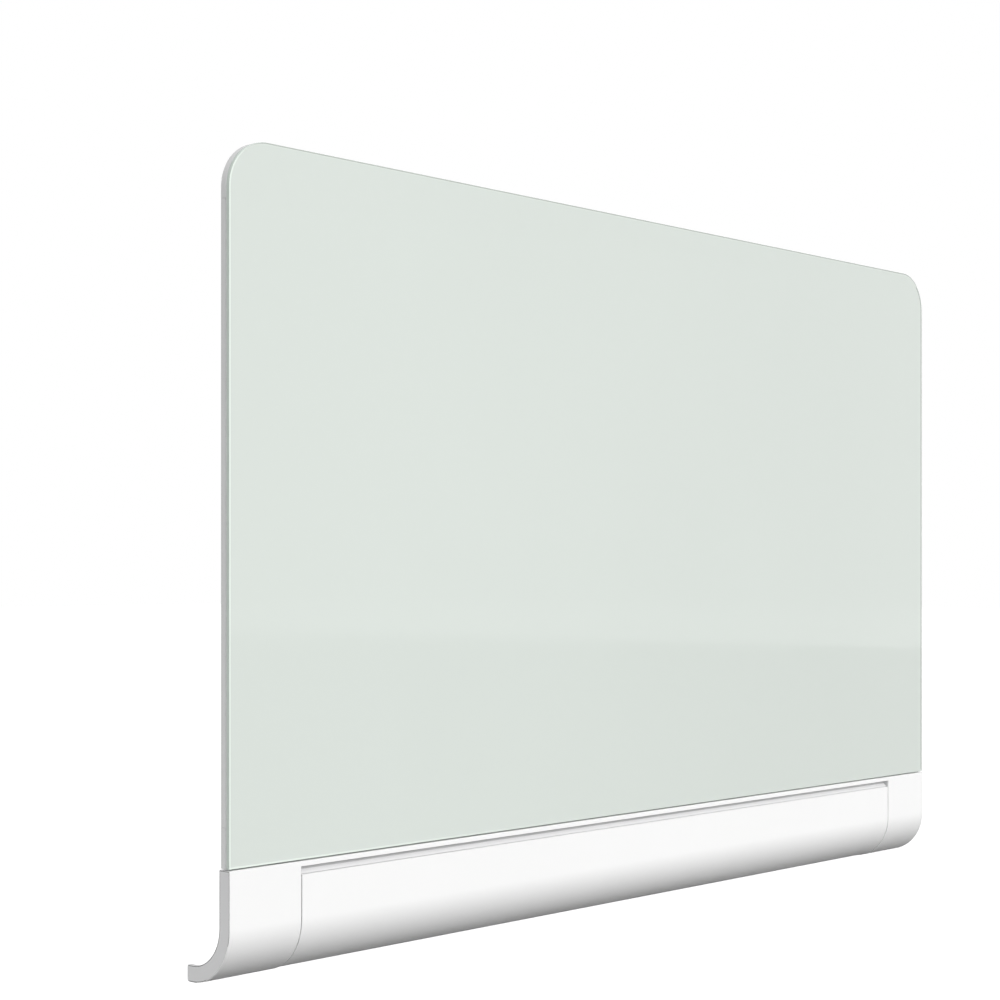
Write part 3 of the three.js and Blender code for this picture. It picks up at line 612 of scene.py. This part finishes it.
def makePanelFrame():
    edge, reach, steps = frameSizes["edge"], frameSizes["jointReach"], frameSizes["cornerSteps"]
    softenedCopy("core_board", "board", fibre, frameSizes["coreEdge"])
    for where in ("top", "bottom"):
        softenedCopy("frame_" + where, "board", anodisedAcross, edge)
    for where in sides:
        softenedCopy("frame_" + where, "board", anodisedUpright, edge, reach=reach)
        softenedCopy("frame_corner_" + where, "board", cornerPlastic, edge, steps)


makePanelFrame()
print("panel frame made")

# Wall rail, hangers, brackets, straps and catches
plateEdges = {"rail": 0.0005, "hanger": 0.0005, "bracket": 0.0004, "strap": 0.0005, "strike": 0.0002}
magnetEdge = 0.0005


def makeFixings():
    softenedCopy("wall_rail", "board", zinc, plateEdges["rail"])
    for where in sides:
        softenedCopy("hanger_" + where, "board", zinc, plateEdges["hanger"])
        softenedCopy("side_bracket_" + where, "board", zinc, plateEdges["bracket"])
        softenedCopy("magnet_" + where, "board", ferrite, magnetEdge)
        softenedCopy("strike_plate_" + where, "tray", zinc, plateEdges["strike"])
    for where in ("left", "centre", "right"):
        softenedCopy("joint_strap_" + where, "board", zinc, plateEdges["strap"])


padSizes = {"ribs": 8, "ribDepth": 0.0004, "edge": 0.0002}


def makeWallPad(where):
    # rubber pad with level grooves across the face that meets the wall
    node = "wall_pad_" + where
    low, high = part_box(node)
    bm = bmesh.new()
    bmesh.ops.create_cube(bm, size=1)
    bmesh.ops.scale(bm, vec=high - low, verts=bm.verts)
    bmesh.ops.translate(bm, vec=middle(node), verts=bm.verts)
    upright = [edge for edge in bm.edges if abs(edge.verts[0].co.z - edge.verts[1].co.z) > tiny]
    bmesh.ops.subdivide_edges(bm, edges=upright, cuts=2 * padSizes["ribs"], use_grid_fill=True)
    back = [face for face in bm.faces if face.normal.y > facing]
    back.sort(key=lambda face: face.calc_center_median().z)
    bmesh.ops.inset_individual(bm, faces=back[1::2], thickness=0, depth=-padSizes["ribDepth"])
    pad = placePiece(bm, pieceName(node), "board", [node], [rubber])
    softenEdges(pad, padSizes["edge"])


makeFixings()
for side in sides:
    makeWallPad(side)
print("fixings made")

# Tray
traySizes = {
    "skin": 0.002,
    "endReach": 0.0005,
    "topDrop": 0.0006,
    "bendRadius": 0.057,
    "bendSteps": 40,
    "edge": 0.00035,
    "portRadius": 0.003,
    "portBore": 0.0016,
    "portGap": 0.0003,
    "portSteps": 24,
    "crease": 0.0008,
    "creaseDepth": 0.0018,
    "slopeRise": 0.0046,
    "frontFold": 0.001,
    "backFold": 0.0025,
    "foldSteps": 6,
    "beadShare": 0.95,
    "plateEdge": 0.0004,
}


def makeTraySkin():
    low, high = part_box("tray_panel")
    skin, radius, steps = traySizes["skin"], traySizes["bendRadius"], traySizes["bendSteps"]
    top = high.z - traySizes["topDrop"]
    corners = [
        (high.y, low.z), (low.y, low.z), (low.y, top),
        (low.y + skin, top), (low.y + skin, low.z + skin), (high.y, low.z + skin),
    ]
    rounds = [
        ((low.y, low.z), radius, steps),
        ((low.y + skin, low.z + skin), radius - skin, steps),
    ]
    reach = traySizes["endReach"]
    bm = sectionAlongX(corners, low.x - reach, high.x + reach, rounds)
    tray = placePiece(bm, "tray.skin", "tray", ["tray_panel"], [lacquer])
    softenEdges(tray, traySizes["edge"])


def makeScrewPorts():
    # tubes along the tray's inside that take the end plates' screws
    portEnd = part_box("tray_end_right")[0].x - traySizes["portGap"]
    inner, outer = traySizes["portBore"], traySizes["portRadius"]
    bm = bmesh.new()
    for screw in ("tray_screw_right_1", "tray_screw_right_2"):
        centre = middle(screw)
        ring = [(-portEnd, inner), (portEnd, inner), (portEnd, outer), (-portEnd, outer), (-portEnd, inner)]
        profile = [(x, centre.y, centre.z + radius) for x, radius in ring]
        turnProfile(bm, profile, (1, 0, 0), (0, centre.y, centre.z), traySizes["portSteps"])
    bmesh.ops.recalc_face_normals(bm, faces=bm.faces)
    crispEdges(bm)
    ports = placePiece(bm, "tray.screwPorts", "tray", ["tray_panel"], [lacquer])
    flatFaces(ports)


def makeTrayLip():
    # crease behind the tray's top edge, slope back to the slot, and an upright flange, all darkened as
    # painted shade of the slot, with painted shadow of the strip on the flange's face
    low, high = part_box("tray_lip")
    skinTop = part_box("tray_panel")[1].z - traySizes["topDrop"]
    slopeBottom = skinTop + traySizes["crease"]
    slopeTop = skinTop + traySizes["slopeRise"]
    flange = high.y - traySizes["skin"]
    setBack = low.y + traySizes["creaseDepth"]
    corners = [
        (setBack, low.z), (setBack, slopeBottom), (low.y, slopeBottom), (flange, slopeTop),
        (flange, high.z), (high.y, high.z), (high.y, slopeTop),
    ]
    rounds = [
        ((flange, slopeTop), traySizes["frontFold"], traySizes["foldSteps"]),
        ((high.y, slopeTop), traySizes["backFold"], traySizes["foldSteps"]),
    ]
    reach = traySizes["endReach"]
    bm = sectionAlongX(corners, low.x - reach, high.x + reach, rounds)
    # painted shadow of the strip on the upper flange's face
    for face in bm.faces:
        if face.normal.y < -facing and face.calc_center_median().z > slopeTop - tiny:
            face.material_index = 1
    lip = placePiece(bm, "tray.lip", "tray", ["tray_lip"], [lipSlotShade, lipFlangeShadow])
    softenEdges(lip, traySizes["edge"] / 3)


def makeTrayBack():
    # strip along the back, with a round bead on its top edge
    low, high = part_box("tray_back")
    corners = [(low.y, low.z), (low.y, high.z), (high.y, high.z), (high.y, low.z)]
    bead = traySizes["beadShare"] * (high.y - low.y) / 2
    rounds = [((y, high.z), bead, traySizes["foldSteps"]) for y in (low.y, high.y)]
    bm = sectionAlongX(corners, low.x, high.x, rounds)
    back = placePiece(bm, "tray.back", "tray", ["tray_back"], [lacquer])
    softenEdges(back, traySizes["edge"] / 2)


def makeTrayEnd(where):
    edge = traySizes["plateEdge"]
    softenedCopy("tray_end_" + where, "tray", trayPlastic, edge, name="tray.end." + where)


# Fascia: folded top, strip over the slot, end panels that curl back to the wall
fasciaSizes = {
    "skin": 0.002,
    "lipHeight": 0.014,
    "lipDepth": 0.0161,
    "stripHeight": 0.0051,
    "seamGap": 0.0016,
    "bendRadius": 0.058,
    "bendSteps": 40,
    "edge": 0.00018,
}


def makeFascia():
    # sheet swept from end to end in three widths, with the tray's window cut out of the middle one
    low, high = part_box("fascia")
    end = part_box("end_cap_right")[1].x - capSizes["thickness"] - tiny
    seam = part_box("tray_panel")[1].x + traySizes["endReach"] + fasciaSizes["seamGap"]
    stripBottom = high.z - fasciaSizes["stripHeight"]
    lipBack = low.y + fasciaSizes["lipDepth"]
    path = [
        (lipBack, high.z - fasciaSizes["lipHeight"]), (lipBack, high.z), (low.y, high.z),
        (low.y, stripBottom), (low.y, low.z), (high.y, low.z),
    ]
    bm = bmesh.new()
    verts = [bm.verts.new((-end, y, z)) for y, z in path]
    edges = [bm.edges.new(pair) for pair in zip(verts, verts[1:])]
    for width in (end - seam, 2 * seam, end - seam):
        swept = bmesh.ops.extrude_edge_only(bm, edges=edges)["geom"]
        bmesh.ops.translate(bm, vec=(width, 0, 0), verts=vertsIn(swept))
        edges = [part for part in swept if isinstance(part, bmesh.types.BMEdge)]
    window = []
    for face in bm.faces:
        centre = face.calc_center_median()
        if abs(centre.x) < seam and centre.z < stripBottom and abs(centre.y - lipBack) > tiny:
            window.append(face)
    bmesh.ops.delete(bm, geom=window, context="FACES")
    bevelEdges(bm, edgesAlongX(bm, low.y, low.z), fasciaSizes["bendRadius"], fasciaSizes["bendSteps"])
    bmesh.ops.recalc_face_normals(bm, faces=bm.faces)
    top = max(bm.faces, key=lambda face: face.calc_center_median().z)
    if top.normal.z < 0:
        bmesh.ops.reverse_faces(bm, faces=bm.faces)
    fascia = placePiece(bm, "fascia.shell", "board", ["fascia"], [lacquer])
    wall = fascia.modifiers.new("skin", "SOLIDIFY")
    wall.thickness = fasciaSizes["skin"]
    wall.offset = -1
    wall.use_even_offset = True
    softenEdges(fascia, fasciaSizes["edge"])


# End caps, each a J-shaped plate and a rim that plugs into the fascia
capSizes = {
    "thickness": 0.004,
    "footThickness": 0.0168,
    "footRound": 0.002,
    "footSteps": 8,
    "bendSteps": 40,
    "edge": 0.0004,
    "edgeSteps": 3,
    "border": 0.0002,
    "grooveWidth": 0.0004,
    "grooveDepth": 0.0008,
    "grooveSlope": 0.00005,
    "lacquerReach": 0.0006,
    "paleLineShares": (0.08, 0.75),
    "underLineShare": 0.6,
    "slants": (0.2, 0.98),  # of the border's faces
    "rimDepth": 0.008,
    "rimInset": 0.0023,
    "rimThickness": 0.0015,
}
capFinishes = [capPlastic, lacquer, capGrooveShadow]
plain, lacquered, grooveShadow = range(3)  # places in that list


def cutBorderGroove(bm, face):
    # fine line round the cap's face, inside its border, dark inside as painted shadow
    slope, depth = capSizes["grooveSlope"], capSizes["grooveDepth"]
    steps = [
        (capSizes["border"], 0, plain), (slope, -depth, grooveShadow),
        (capSizes["grooveWidth"], 0, grooveShadow), (slope, depth, grooveShadow),
    ]
    for width, rise, finish in steps:
        ring = bmesh.ops.inset_region(bm, faces=[face], thickness=width, depth=rise, use_even_offset=True)
        for part in ring["faces"]:
            part.material_index = finish
    face.material_index = plain


def finishOuterSide(bm, low, high):
    # The fascia's lacquer runs on round the outer side, with the border beside it, and on part of the bend's
    # groove as a painted highlight.
    # The groove is plain at the foot's end, and the border under the foot is dark like the groove, as painted
    # shade.
    radius, reach = fasciaSizes["bendRadius"], capSizes["lacquerReach"]
    grooveReach = 3 * reach
    highlightStart, highlightEnd = (share * radius for share in capSizes["paleLineShares"])
    underShadeStart = capSizes["underLineShare"] * radius
    leastSlant, mostSlant = capSizes["slants"]
    for face in bm.faces:
        centre = face.calc_center_median()
        y, z = centre.y - low.y, centre.z - low.z
        slant = abs(face.normal.x)
        inBend = y < radius and z < radius
        inward = radius - math.hypot(radius - y, radius - z) if inBend else min(y, z)
        footBorder = y > radius and slant > leastSlant
        if face.material_index == plain and inward < reach and not footBorder:
            face.material_index = lacquered
        # painted highlight: part of the bend's groove gets the lacquer
        if face.material_index == grooveShadow and y < radius and highlightStart < z < highlightEnd and inward < grooveReach:
            face.material_index = lacquered
        if face.material_index == grooveShadow and y > high.y - low.y - grooveReach:
            face.material_index = plain
        # painted shade: the border under the foot gets the groove's dark
        if z < reach and y > underShadeStart and leastSlant < slant < mostSlant:
            face.material_index = grooveShadow


def makeCapPlate(node, sign, outerX):
    # plate with a soft outer edge, which follows the fascia's section and ends in a thick foot
    low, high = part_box(node)
    plateX = outerX - sign * capSizes["thickness"]
    lipBack = low.y + fasciaSizes["lipDepth"]
    footTop = low.z + capSizes["footThickness"]
    radius, steps = fasciaSizes["bendRadius"], capSizes["bendSteps"]
    corners = [
        (lipBack, high.z), (low.y, high.z), (low.y, low.z),
        (high.y, low.z), (high.y, footTop), (lipBack, footTop),
    ]
    rounds = [
        ((low.y, low.z), radius, steps),
        ((lipBack, footTop), radius - fasciaSizes["lipDepth"], steps),
        ((high.y, low.z), capSizes["footRound"], capSizes["footSteps"]),
        ((high.y, footTop), capSizes["footRound"], capSizes["footSteps"]),
    ]
    bm = sectionAlongX(corners, min(outerX, plateX), max(outerX, plateX), rounds)
    bevelEdges(bm, edgesInPlane(bm, "x", outerX), capSizes["edge"], capSizes["edgeSteps"])

    def outward(face):
        return round(face.normal.x * sign, 2), face.calc_center_median().x * sign

    cutBorderGroove(bm, max(bm.faces, key=outward))
    finishOuterSide(bm, low, high)
    crispEdges(bm)
    plate = placePiece(bm, pieceName(node), "board", [node], capFinishes)
    flatFaces(plate)


def makeCapRim(node, sign, outerX):
    # thin rim behind the plate, just inside the fascia's skin
    low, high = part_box(node)
    plateX = outerX - sign * capSizes["thickness"]
    rimX = plateX - sign * capSizes["rimDepth"]
    outer = capSizes["rimInset"]
    inner = outer + capSizes["rimThickness"]
    end, top = high.y - capSizes["footRound"], high.z - outer
    radius, steps = fasciaSizes["bendRadius"], capSizes["bendSteps"]
    corners = [
        (end, low.z + outer), (low.y + outer, low.z + outer), (low.y + outer, top),
        (low.y + inner, top), (low.y + inner, low.z + inner), (end, low.z + inner),
    ]
    rounds = [((low.y + inset, low.z + inset), radius - inset, steps) for inset in (outer, inner)]
    bm = sectionAlongX(corners, min(plateX, rimX), max(plateX, rimX), rounds)
    name = pieceName(node).replace("endCap", "endCapRim")
    rim = placePiece(bm, name, "board", [node], [capPlastic])
    softenEdges(rim, capSizes["edge"] / 3)


makeFascia()
for side, sign in sides.items():
    cap = "end_cap_" + side
    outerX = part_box(cap)[1].x if sign > 0 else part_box(cap)[0].x
    makeCapPlate(cap, sign, outerX)
    makeCapRim(cap, sign, outerX)
print("fascia and end caps made")

makeTraySkin()
makeScrewPorts()
makeTrayLip()
makeTrayBack()
for side in sides:
    makeTrayEnd(side)
print("tray made")

# Screws with a cross recess
panScrew = {
    "head": 0.0036, "headHeight": 0.0022, "shank": 0.00175, "length": 0.008,
    "recess": 0.0019, "recessWidth": 0.0007, "recessDepth": 0.0012,
}
portScrew = {
    "head": 0.0023, "headHeight": 0.0009, "shank": 0.0013, "length": 0.01,
    "recess": 0.0013, "recessWidth": 0.0005, "recessDepth": 0.0006,
}
screwSteps = 32
recessTaper = 0.75


def pressCross(bm, flat, screw):
    # cuts the flat of the head by four planes and presses the cross between them
    height, half = screw["headHeight"], screw["recessWidth"] / 2
    for normal in ((1, 0, 0), (0, 1, 0)):
        for place in (-half, half):
            parts = dict.fromkeys(flat)
            for face in flat:
                parts.update(dict.fromkeys([*face.edges, *face.verts]))
            bmesh.ops.bisect_plane(bm, geom=list(parts), plane_co=Vector(normal) * place, plane_no=normal)
            flat = [face for face in bm.faces if all(vert.co.z > height - tiny for vert in face.verts)]
    cross = [
        face for face in flat
        if min(abs(face.calc_center_median().x), abs(face.calc_center_median().y)) < half
    ]
    floor = vertsIn(bmesh.ops.extrude_face_region(bm, geom=cross)["geom"])
    bmesh.ops.delete(bm, geom=cross, context="FACES")
    bmesh.ops.translate(bm, vec=(0, 0, -screw["recessDepth"]), verts=floor)
    bmesh.ops.scale(bm, vec=(recessTaper, recessTaper, 1), verts=floor)


def screwMesh(screw):
    # turned about Z with the head up
    head, height, shank = screw["head"], screw["headHeight"], screw["shank"]
    profile = [
        (screw["recess"], height), (0.7 * head, 0.96 * height), (0.88 * head, 0.76 * height),
        (0.98 * head, 0.45 * height), (head, 0.2 * height), (0.97 * head, 0), (shank, 0),
        (shank, shank - screw["length"]), (0.2 * shank, -screw["length"]), (0, -screw["length"]),
    ]
    bm = bmesh.new()
    turnProfile(bm, [(radius, 0, z) for radius, z in profile], (0, 0, 1), (0, 0, 0), screwSteps)
    flat = bmesh.ops.contextual_create(bm, geom=edgesInPlane(bm, "z", height))["faces"]
    pressCross(bm, flat, screw)
    bmesh.ops.recalc_face_normals(bm, faces=bm.faces)
    crispEdges(bm)
    return bm


def makeScrew(node, body, screw, direction):
    # the head's top faces the direction, and lies where the frame has it
    bm = screwMesh(screw)
    turn = Vector(direction).to_track_quat("Z", "Y").to_matrix().to_4x4()
    back = (screw["headHeight"] - screw["length"]) / 2
    seat = middle(node) - Vector(direction) * back
    bmesh.ops.transform(bm, matrix=Matrix.Translation(seat) @ turn, verts=bm.verts)
    placePiece(bm, pieceName(node), body, [node], [screwSteel])


for node in sorted(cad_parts):
    if "_screw_" in node and not node.startswith("tray_"):
        makeScrew(node, "board", panScrew, (0, 1, 0))
for side, sign in sides.items():
    for number in ("1", "2"):
        makeScrew("tray_screw_" + side + "_" + number, "tray", portScrew, (sign, 0, 0))
print("screws made")

# Tray hinge: pins, bushes, clips and stop pins
hingeSizes = {
    "pin": 0.003, "pinHead": 0.0045, "pinHeadThickness": 0.0015, "chamfer": 0.0004,
    "groove": 0.0009, "grooveGap": 0.0001,
    "bore": 0.0033, "bush": 0.0048, "bushFlange": 0.006, "bushFlangeThickness": 0.001,
    "stopPin": 0.002, "stopHead": 0.004, "stopHeadThickness": 0.0012,
    "clipEdge": 0.0001, "steps": 40,
}


def lengthOnX(node):
    low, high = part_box(node)
    return high.x - low.x


def turnedOnX(node, body, profile, material):
    # profile of (distance from the inner end, radius), turned about the node's middle line
    low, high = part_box(node)
    centre = middle(node)
    sign, inner = (1, low.x) if centre.x > 0 else (-1, high.x)
    wire = [(inner + sign * along, centre.y, centre.z + radius) for along, radius in profile]
    bm = bmesh.new()
    turnProfile(bm, wire, (1, 0, 0), (0, centre.y, centre.z), hingeSizes["steps"])
    bmesh.ops.recalc_face_normals(bm, faces=bm.faces)
    crispEdges(bm)
    piece = placePiece(bm, pieceName(node), body, [node], [material])
    flatFaces(piece)


def makePivotPin(node, clip):
    # headed pin with a groove for its clip
    sizes = hingeSizes
    length = lengthOnX(node)
    inner = min(abs(corner.x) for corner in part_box(node))
    clipStart, clipEnd = sorted(abs(corner.x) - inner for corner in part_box(clip))
    grooveStart, grooveEnd = clipStart - sizes["grooveGap"], clipEnd + sizes["grooveGap"]
    pin, head, cut = sizes["pin"], sizes["pinHead"], sizes["chamfer"]
    neck = pin - sizes["groove"]
    thick = sizes["pinHeadThickness"]
    profile = [
        (0, 0), (0, head - cut), (cut, head), (thick - cut, head), (thick, head - cut), (thick, pin),
        (grooveStart, pin), (grooveStart, neck), (grooveEnd, neck), (grooveEnd, pin),
        (length - cut, pin), (length, pin - cut), (length, 0),
    ]
    turnedOnX(node, "tray", profile, pinSteel)


def makePivotBush(node):
    # flanged bush with a bore that clears the pin
    sizes = hingeSizes
    length = lengthOnX(node)
    bore, bush, flange = sizes["bore"], sizes["bush"], sizes["bushFlange"]
    thick, cut = sizes["bushFlangeThickness"], sizes["chamfer"] / 2
    profile = [
        (0, bore), (0, flange - cut), (cut, flange), (thick, flange),
        (thick, bush), (length, bush), (length, bore), (0, bore),
    ]
    turnedOnX(node, "board", profile, nylon)


def makeStopPin(node):
    # fixed pin with its head at the outer end
    sizes = hingeSizes
    length = lengthOnX(node)
    under = length - sizes["stopHeadThickness"]
    pin, head, cut = sizes["stopPin"], sizes["stopHead"], sizes["chamfer"]
    profile = [
        (0, 0), (0, pin - cut), (cut, pin), (under, pin), (under, head - cut / 2),
        (under + cut / 2, head), (length - cut, head), (length, head - cut), (length, 0),
    ]
    turnedOnX(node, "board", profile, pinSteel)


for side in sides:
    makePivotPin("pivot_pin_" + side, "pivot_clip_" + side)
    makePivotBush("pivot_bush_" + side)
    makeStopPin("stop_pin_" + side)
    softenedCopy("pivot_clip_" + side, "tray", pinSteel, hingeSizes["clipEdge"])
print("hinge made")

# Floor, light and camera
studio = {
    "floorHeight": -1.75,
    "floorSize": 60,
    "floorTone": (0.85, 0.85, 0.85),
    "floorGlow": 0.31,
    "floorBounce": (0.05, 0.05, 0.05),
    "skyStrength": 1.88,
    "skyFalloff": 0.5,
    "frontShare": 0.65,
    "groundStrength": 0.03,
}


def backgroundRays(owner):
    # 1 for rays of the camera, of gloss and of clear glass
    tree = owner.node_tree
    path = addNode(owner, "ShaderNodeLightPath")
    seen = addNode(owner, "ShaderNodeMath", operation="MAXIMUM")
    either = addNode(owner, "ShaderNodeMath", operation="MAXIMUM")
    tree.links.new(path.outputs["Is Camera Ray"], seen.inputs[0])
    tree.links.new(path.outputs["Is Glossy Ray"], seen.inputs[1])
    tree.links.new(seen.outputs["Value"], either.inputs[0])
    tree.links.new(path.outputs["Is Transmission Ray"], either.inputs[1])
    return either.outputs["Value"]


def makeFloor():
    bm = bmesh.new()
    bmesh.ops.create_grid(bm, x_segments=2, y_segments=2, size=studio["floorSize"])
    bmesh.ops.translate(bm, vec=(0, 0, studio["floorHeight"]), verts=bm.verts)
    mesh = bpy.data.meshes.new("floor")
    bm.to_mesh(mesh)
    bm.free()
    floor = bpy.data.objects.new("floor", mesh)
    scene.collection.objects.link(floor)
    material = bpy.data.materials.new("paleFloor")
    material.use_nodes = True
    tree = material.node_tree
    tree.nodes.remove(shaderOf(material))
    output = tree.nodes["Material Output"]
    seen = backgroundRays(material)
    pale = addNode(material, "ShaderNodeBsdfDiffuse", {"Color": (*studio["floorTone"], 1)})
    glow = addNode(material, "ShaderNodeEmission", {"Color": (1, 1, 1, 1), "Strength": studio["floorGlow"]})
    lit = addNode(material, "ShaderNodeAddShader")
    dull = addNode(material, "ShaderNodeBsdfDiffuse", {"Color": (*studio["floorBounce"], 1)})
    mix = addNode(material, "ShaderNodeMixShader")
    tree.links.new(pale.outputs["BSDF"], lit.inputs[0])
    tree.links.new(glow.outputs["Emission"], lit.inputs[1])
    tree.links.new(seen, mix.inputs[0])
    tree.links.new(dull.outputs["BSDF"], mix.inputs[1])
    tree.links.new(lit.outputs["Shader"], mix.inputs[2])
    tree.links.new(mix.outputs["Shader"], output.inputs["Surface"])
    mesh.materials.append(material)


def makeSky():
    # white to the eye and in gloss, and as light strongest at the horizon and on the glass's side
    world = bpy.data.worlds.new("studio")
    scene.world = world
    world.use_nodes = True
    tree = world.node_tree
    tree.nodes.clear()
    seen = backgroundRays(world)
    place = addNode(world, "ShaderNodeTexCoord")
    split = addNode(world, "ShaderNodeSeparateXYZ")
    tree.links.new(place.outputs["Generated"], split.inputs["Vector"])
    height = addNode(world, "ShaderNodeMath", {1: 0.0}, operation="MAXIMUM")
    tree.links.new(split.outputs["Z"], height.inputs[0])
    rest = addNode(world, "ShaderNodeMath", {0: 1.0}, operation="SUBTRACT")
    tree.links.new(height.outputs["Value"], rest.inputs[1])
    fall = addNode(world, "ShaderNodeMath", {1: studio["skyFalloff"]}, operation="POWER")
    tree.links.new(rest.outputs["Value"], fall.inputs[0])
    front = addNode(world, "ShaderNodeMath", {1: -studio["frontShare"], 2: 1.0}, operation="MULTIPLY_ADD")
    tree.links.new(split.outputs["Y"], front.inputs[0])
    bright = addNode(world, "ShaderNodeMath", operation="MULTIPLY")
    tree.links.new(fall.outputs["Value"], bright.inputs[0])
    tree.links.new(front.outputs["Value"], bright.inputs[1])
    sky = addNode(world, "ShaderNodeMath", {1: studio["skyStrength"]}, operation="MULTIPLY")
    tree.links.new(bright.outputs["Value"], sky.inputs[0])
    below = addNode(world, "ShaderNodeMath", {1: 0.0}, operation="LESS_THAN")
    tree.links.new(split.outputs["Z"], below.inputs[0])
    light = addNode(world, "ShaderNodeMix")
    light.inputs[3].default_value = studio["groundStrength"]
    tree.links.new(below.outputs["Value"], light.inputs[0])
    tree.links.new(sky.outputs["Value"], light.inputs[2])
    strength = addNode(world, "ShaderNodeMix")
    strength.inputs[3].default_value = 1.0
    tree.links.new(seen, strength.inputs[0])
    tree.links.new(light.outputs[0], strength.inputs[2])
    background = addNode(world, "ShaderNodeBackground", {"Color": (1, 1, 1, 1)})
    tree.links.new(strength.outputs[0], background.inputs["Strength"])
    output = addNode(world, "ShaderNodeOutputWorld")
    tree.links.new(background.outputs["Background"], output.inputs["Surface"])


cameraSizes = {
    "place": (-1.8354, -1.5536, -0.3244),
    "heading": -46.79,
    "sensor": 36,
    "lens": 70.48,
    "rise": 0.0685,
}


def makeCamera():
    camera = bpy.data.cameras.new("camera")
    camera.sensor_width = cameraSizes["sensor"]
    camera.lens = cameraSizes["lens"]
    camera.shift_y = cameraSizes["rise"]
    heading = math.radians(cameraSizes["heading"])
    eye = bpy.data.objects.new("camera", camera)
    scene.collection.objects.link(eye)
    eye.location = cameraSizes["place"]
    eye.rotation_euler = (math.radians(90), 0, heading)  # level
    scene.camera = eye


cardSizes = {
    "lowerLeft": (2.316, -5.022, -0.55),
    "lowerRight": (3.222, -0.529, -0.55),
    "height": 3.0,
    "glow": 0.7,
}


def makeGlossCard():
    # soft card in front of the board, at its right, that only shows as a paler part of the glass
    left, right = Vector(cardSizes["lowerLeft"]), Vector(cardSizes["lowerRight"])
    along = right - left
    light = bpy.data.lights.new("glossCard", "AREA")
    light.shape = "RECTANGLE"
    light.size = along.length
    light.size_y = cardSizes["height"]
    light.energy = cardSizes["glow"] * math.pi * light.size * light.size_y
    card = bpy.data.objects.new("glossCard", light)
    scene.collection.objects.link(card)
    up = Vector((0, 0, 1))
    backwards = along.normalized().cross(up)
    card.matrix_world = Matrix((along.normalized(), up, backwards)).transposed().to_4x4()
    card.location = (left + right) / 2 + up * cardSizes["height"] / 2
    card.visible_diffuse = False
    card.visible_camera = False


makeFloor()
makeSky()
makeGlossCard()
makeCamera()
scene.view_settings.view_transform = "Standard"
print("studio ready,", len(bpy.data.materials), "materials")
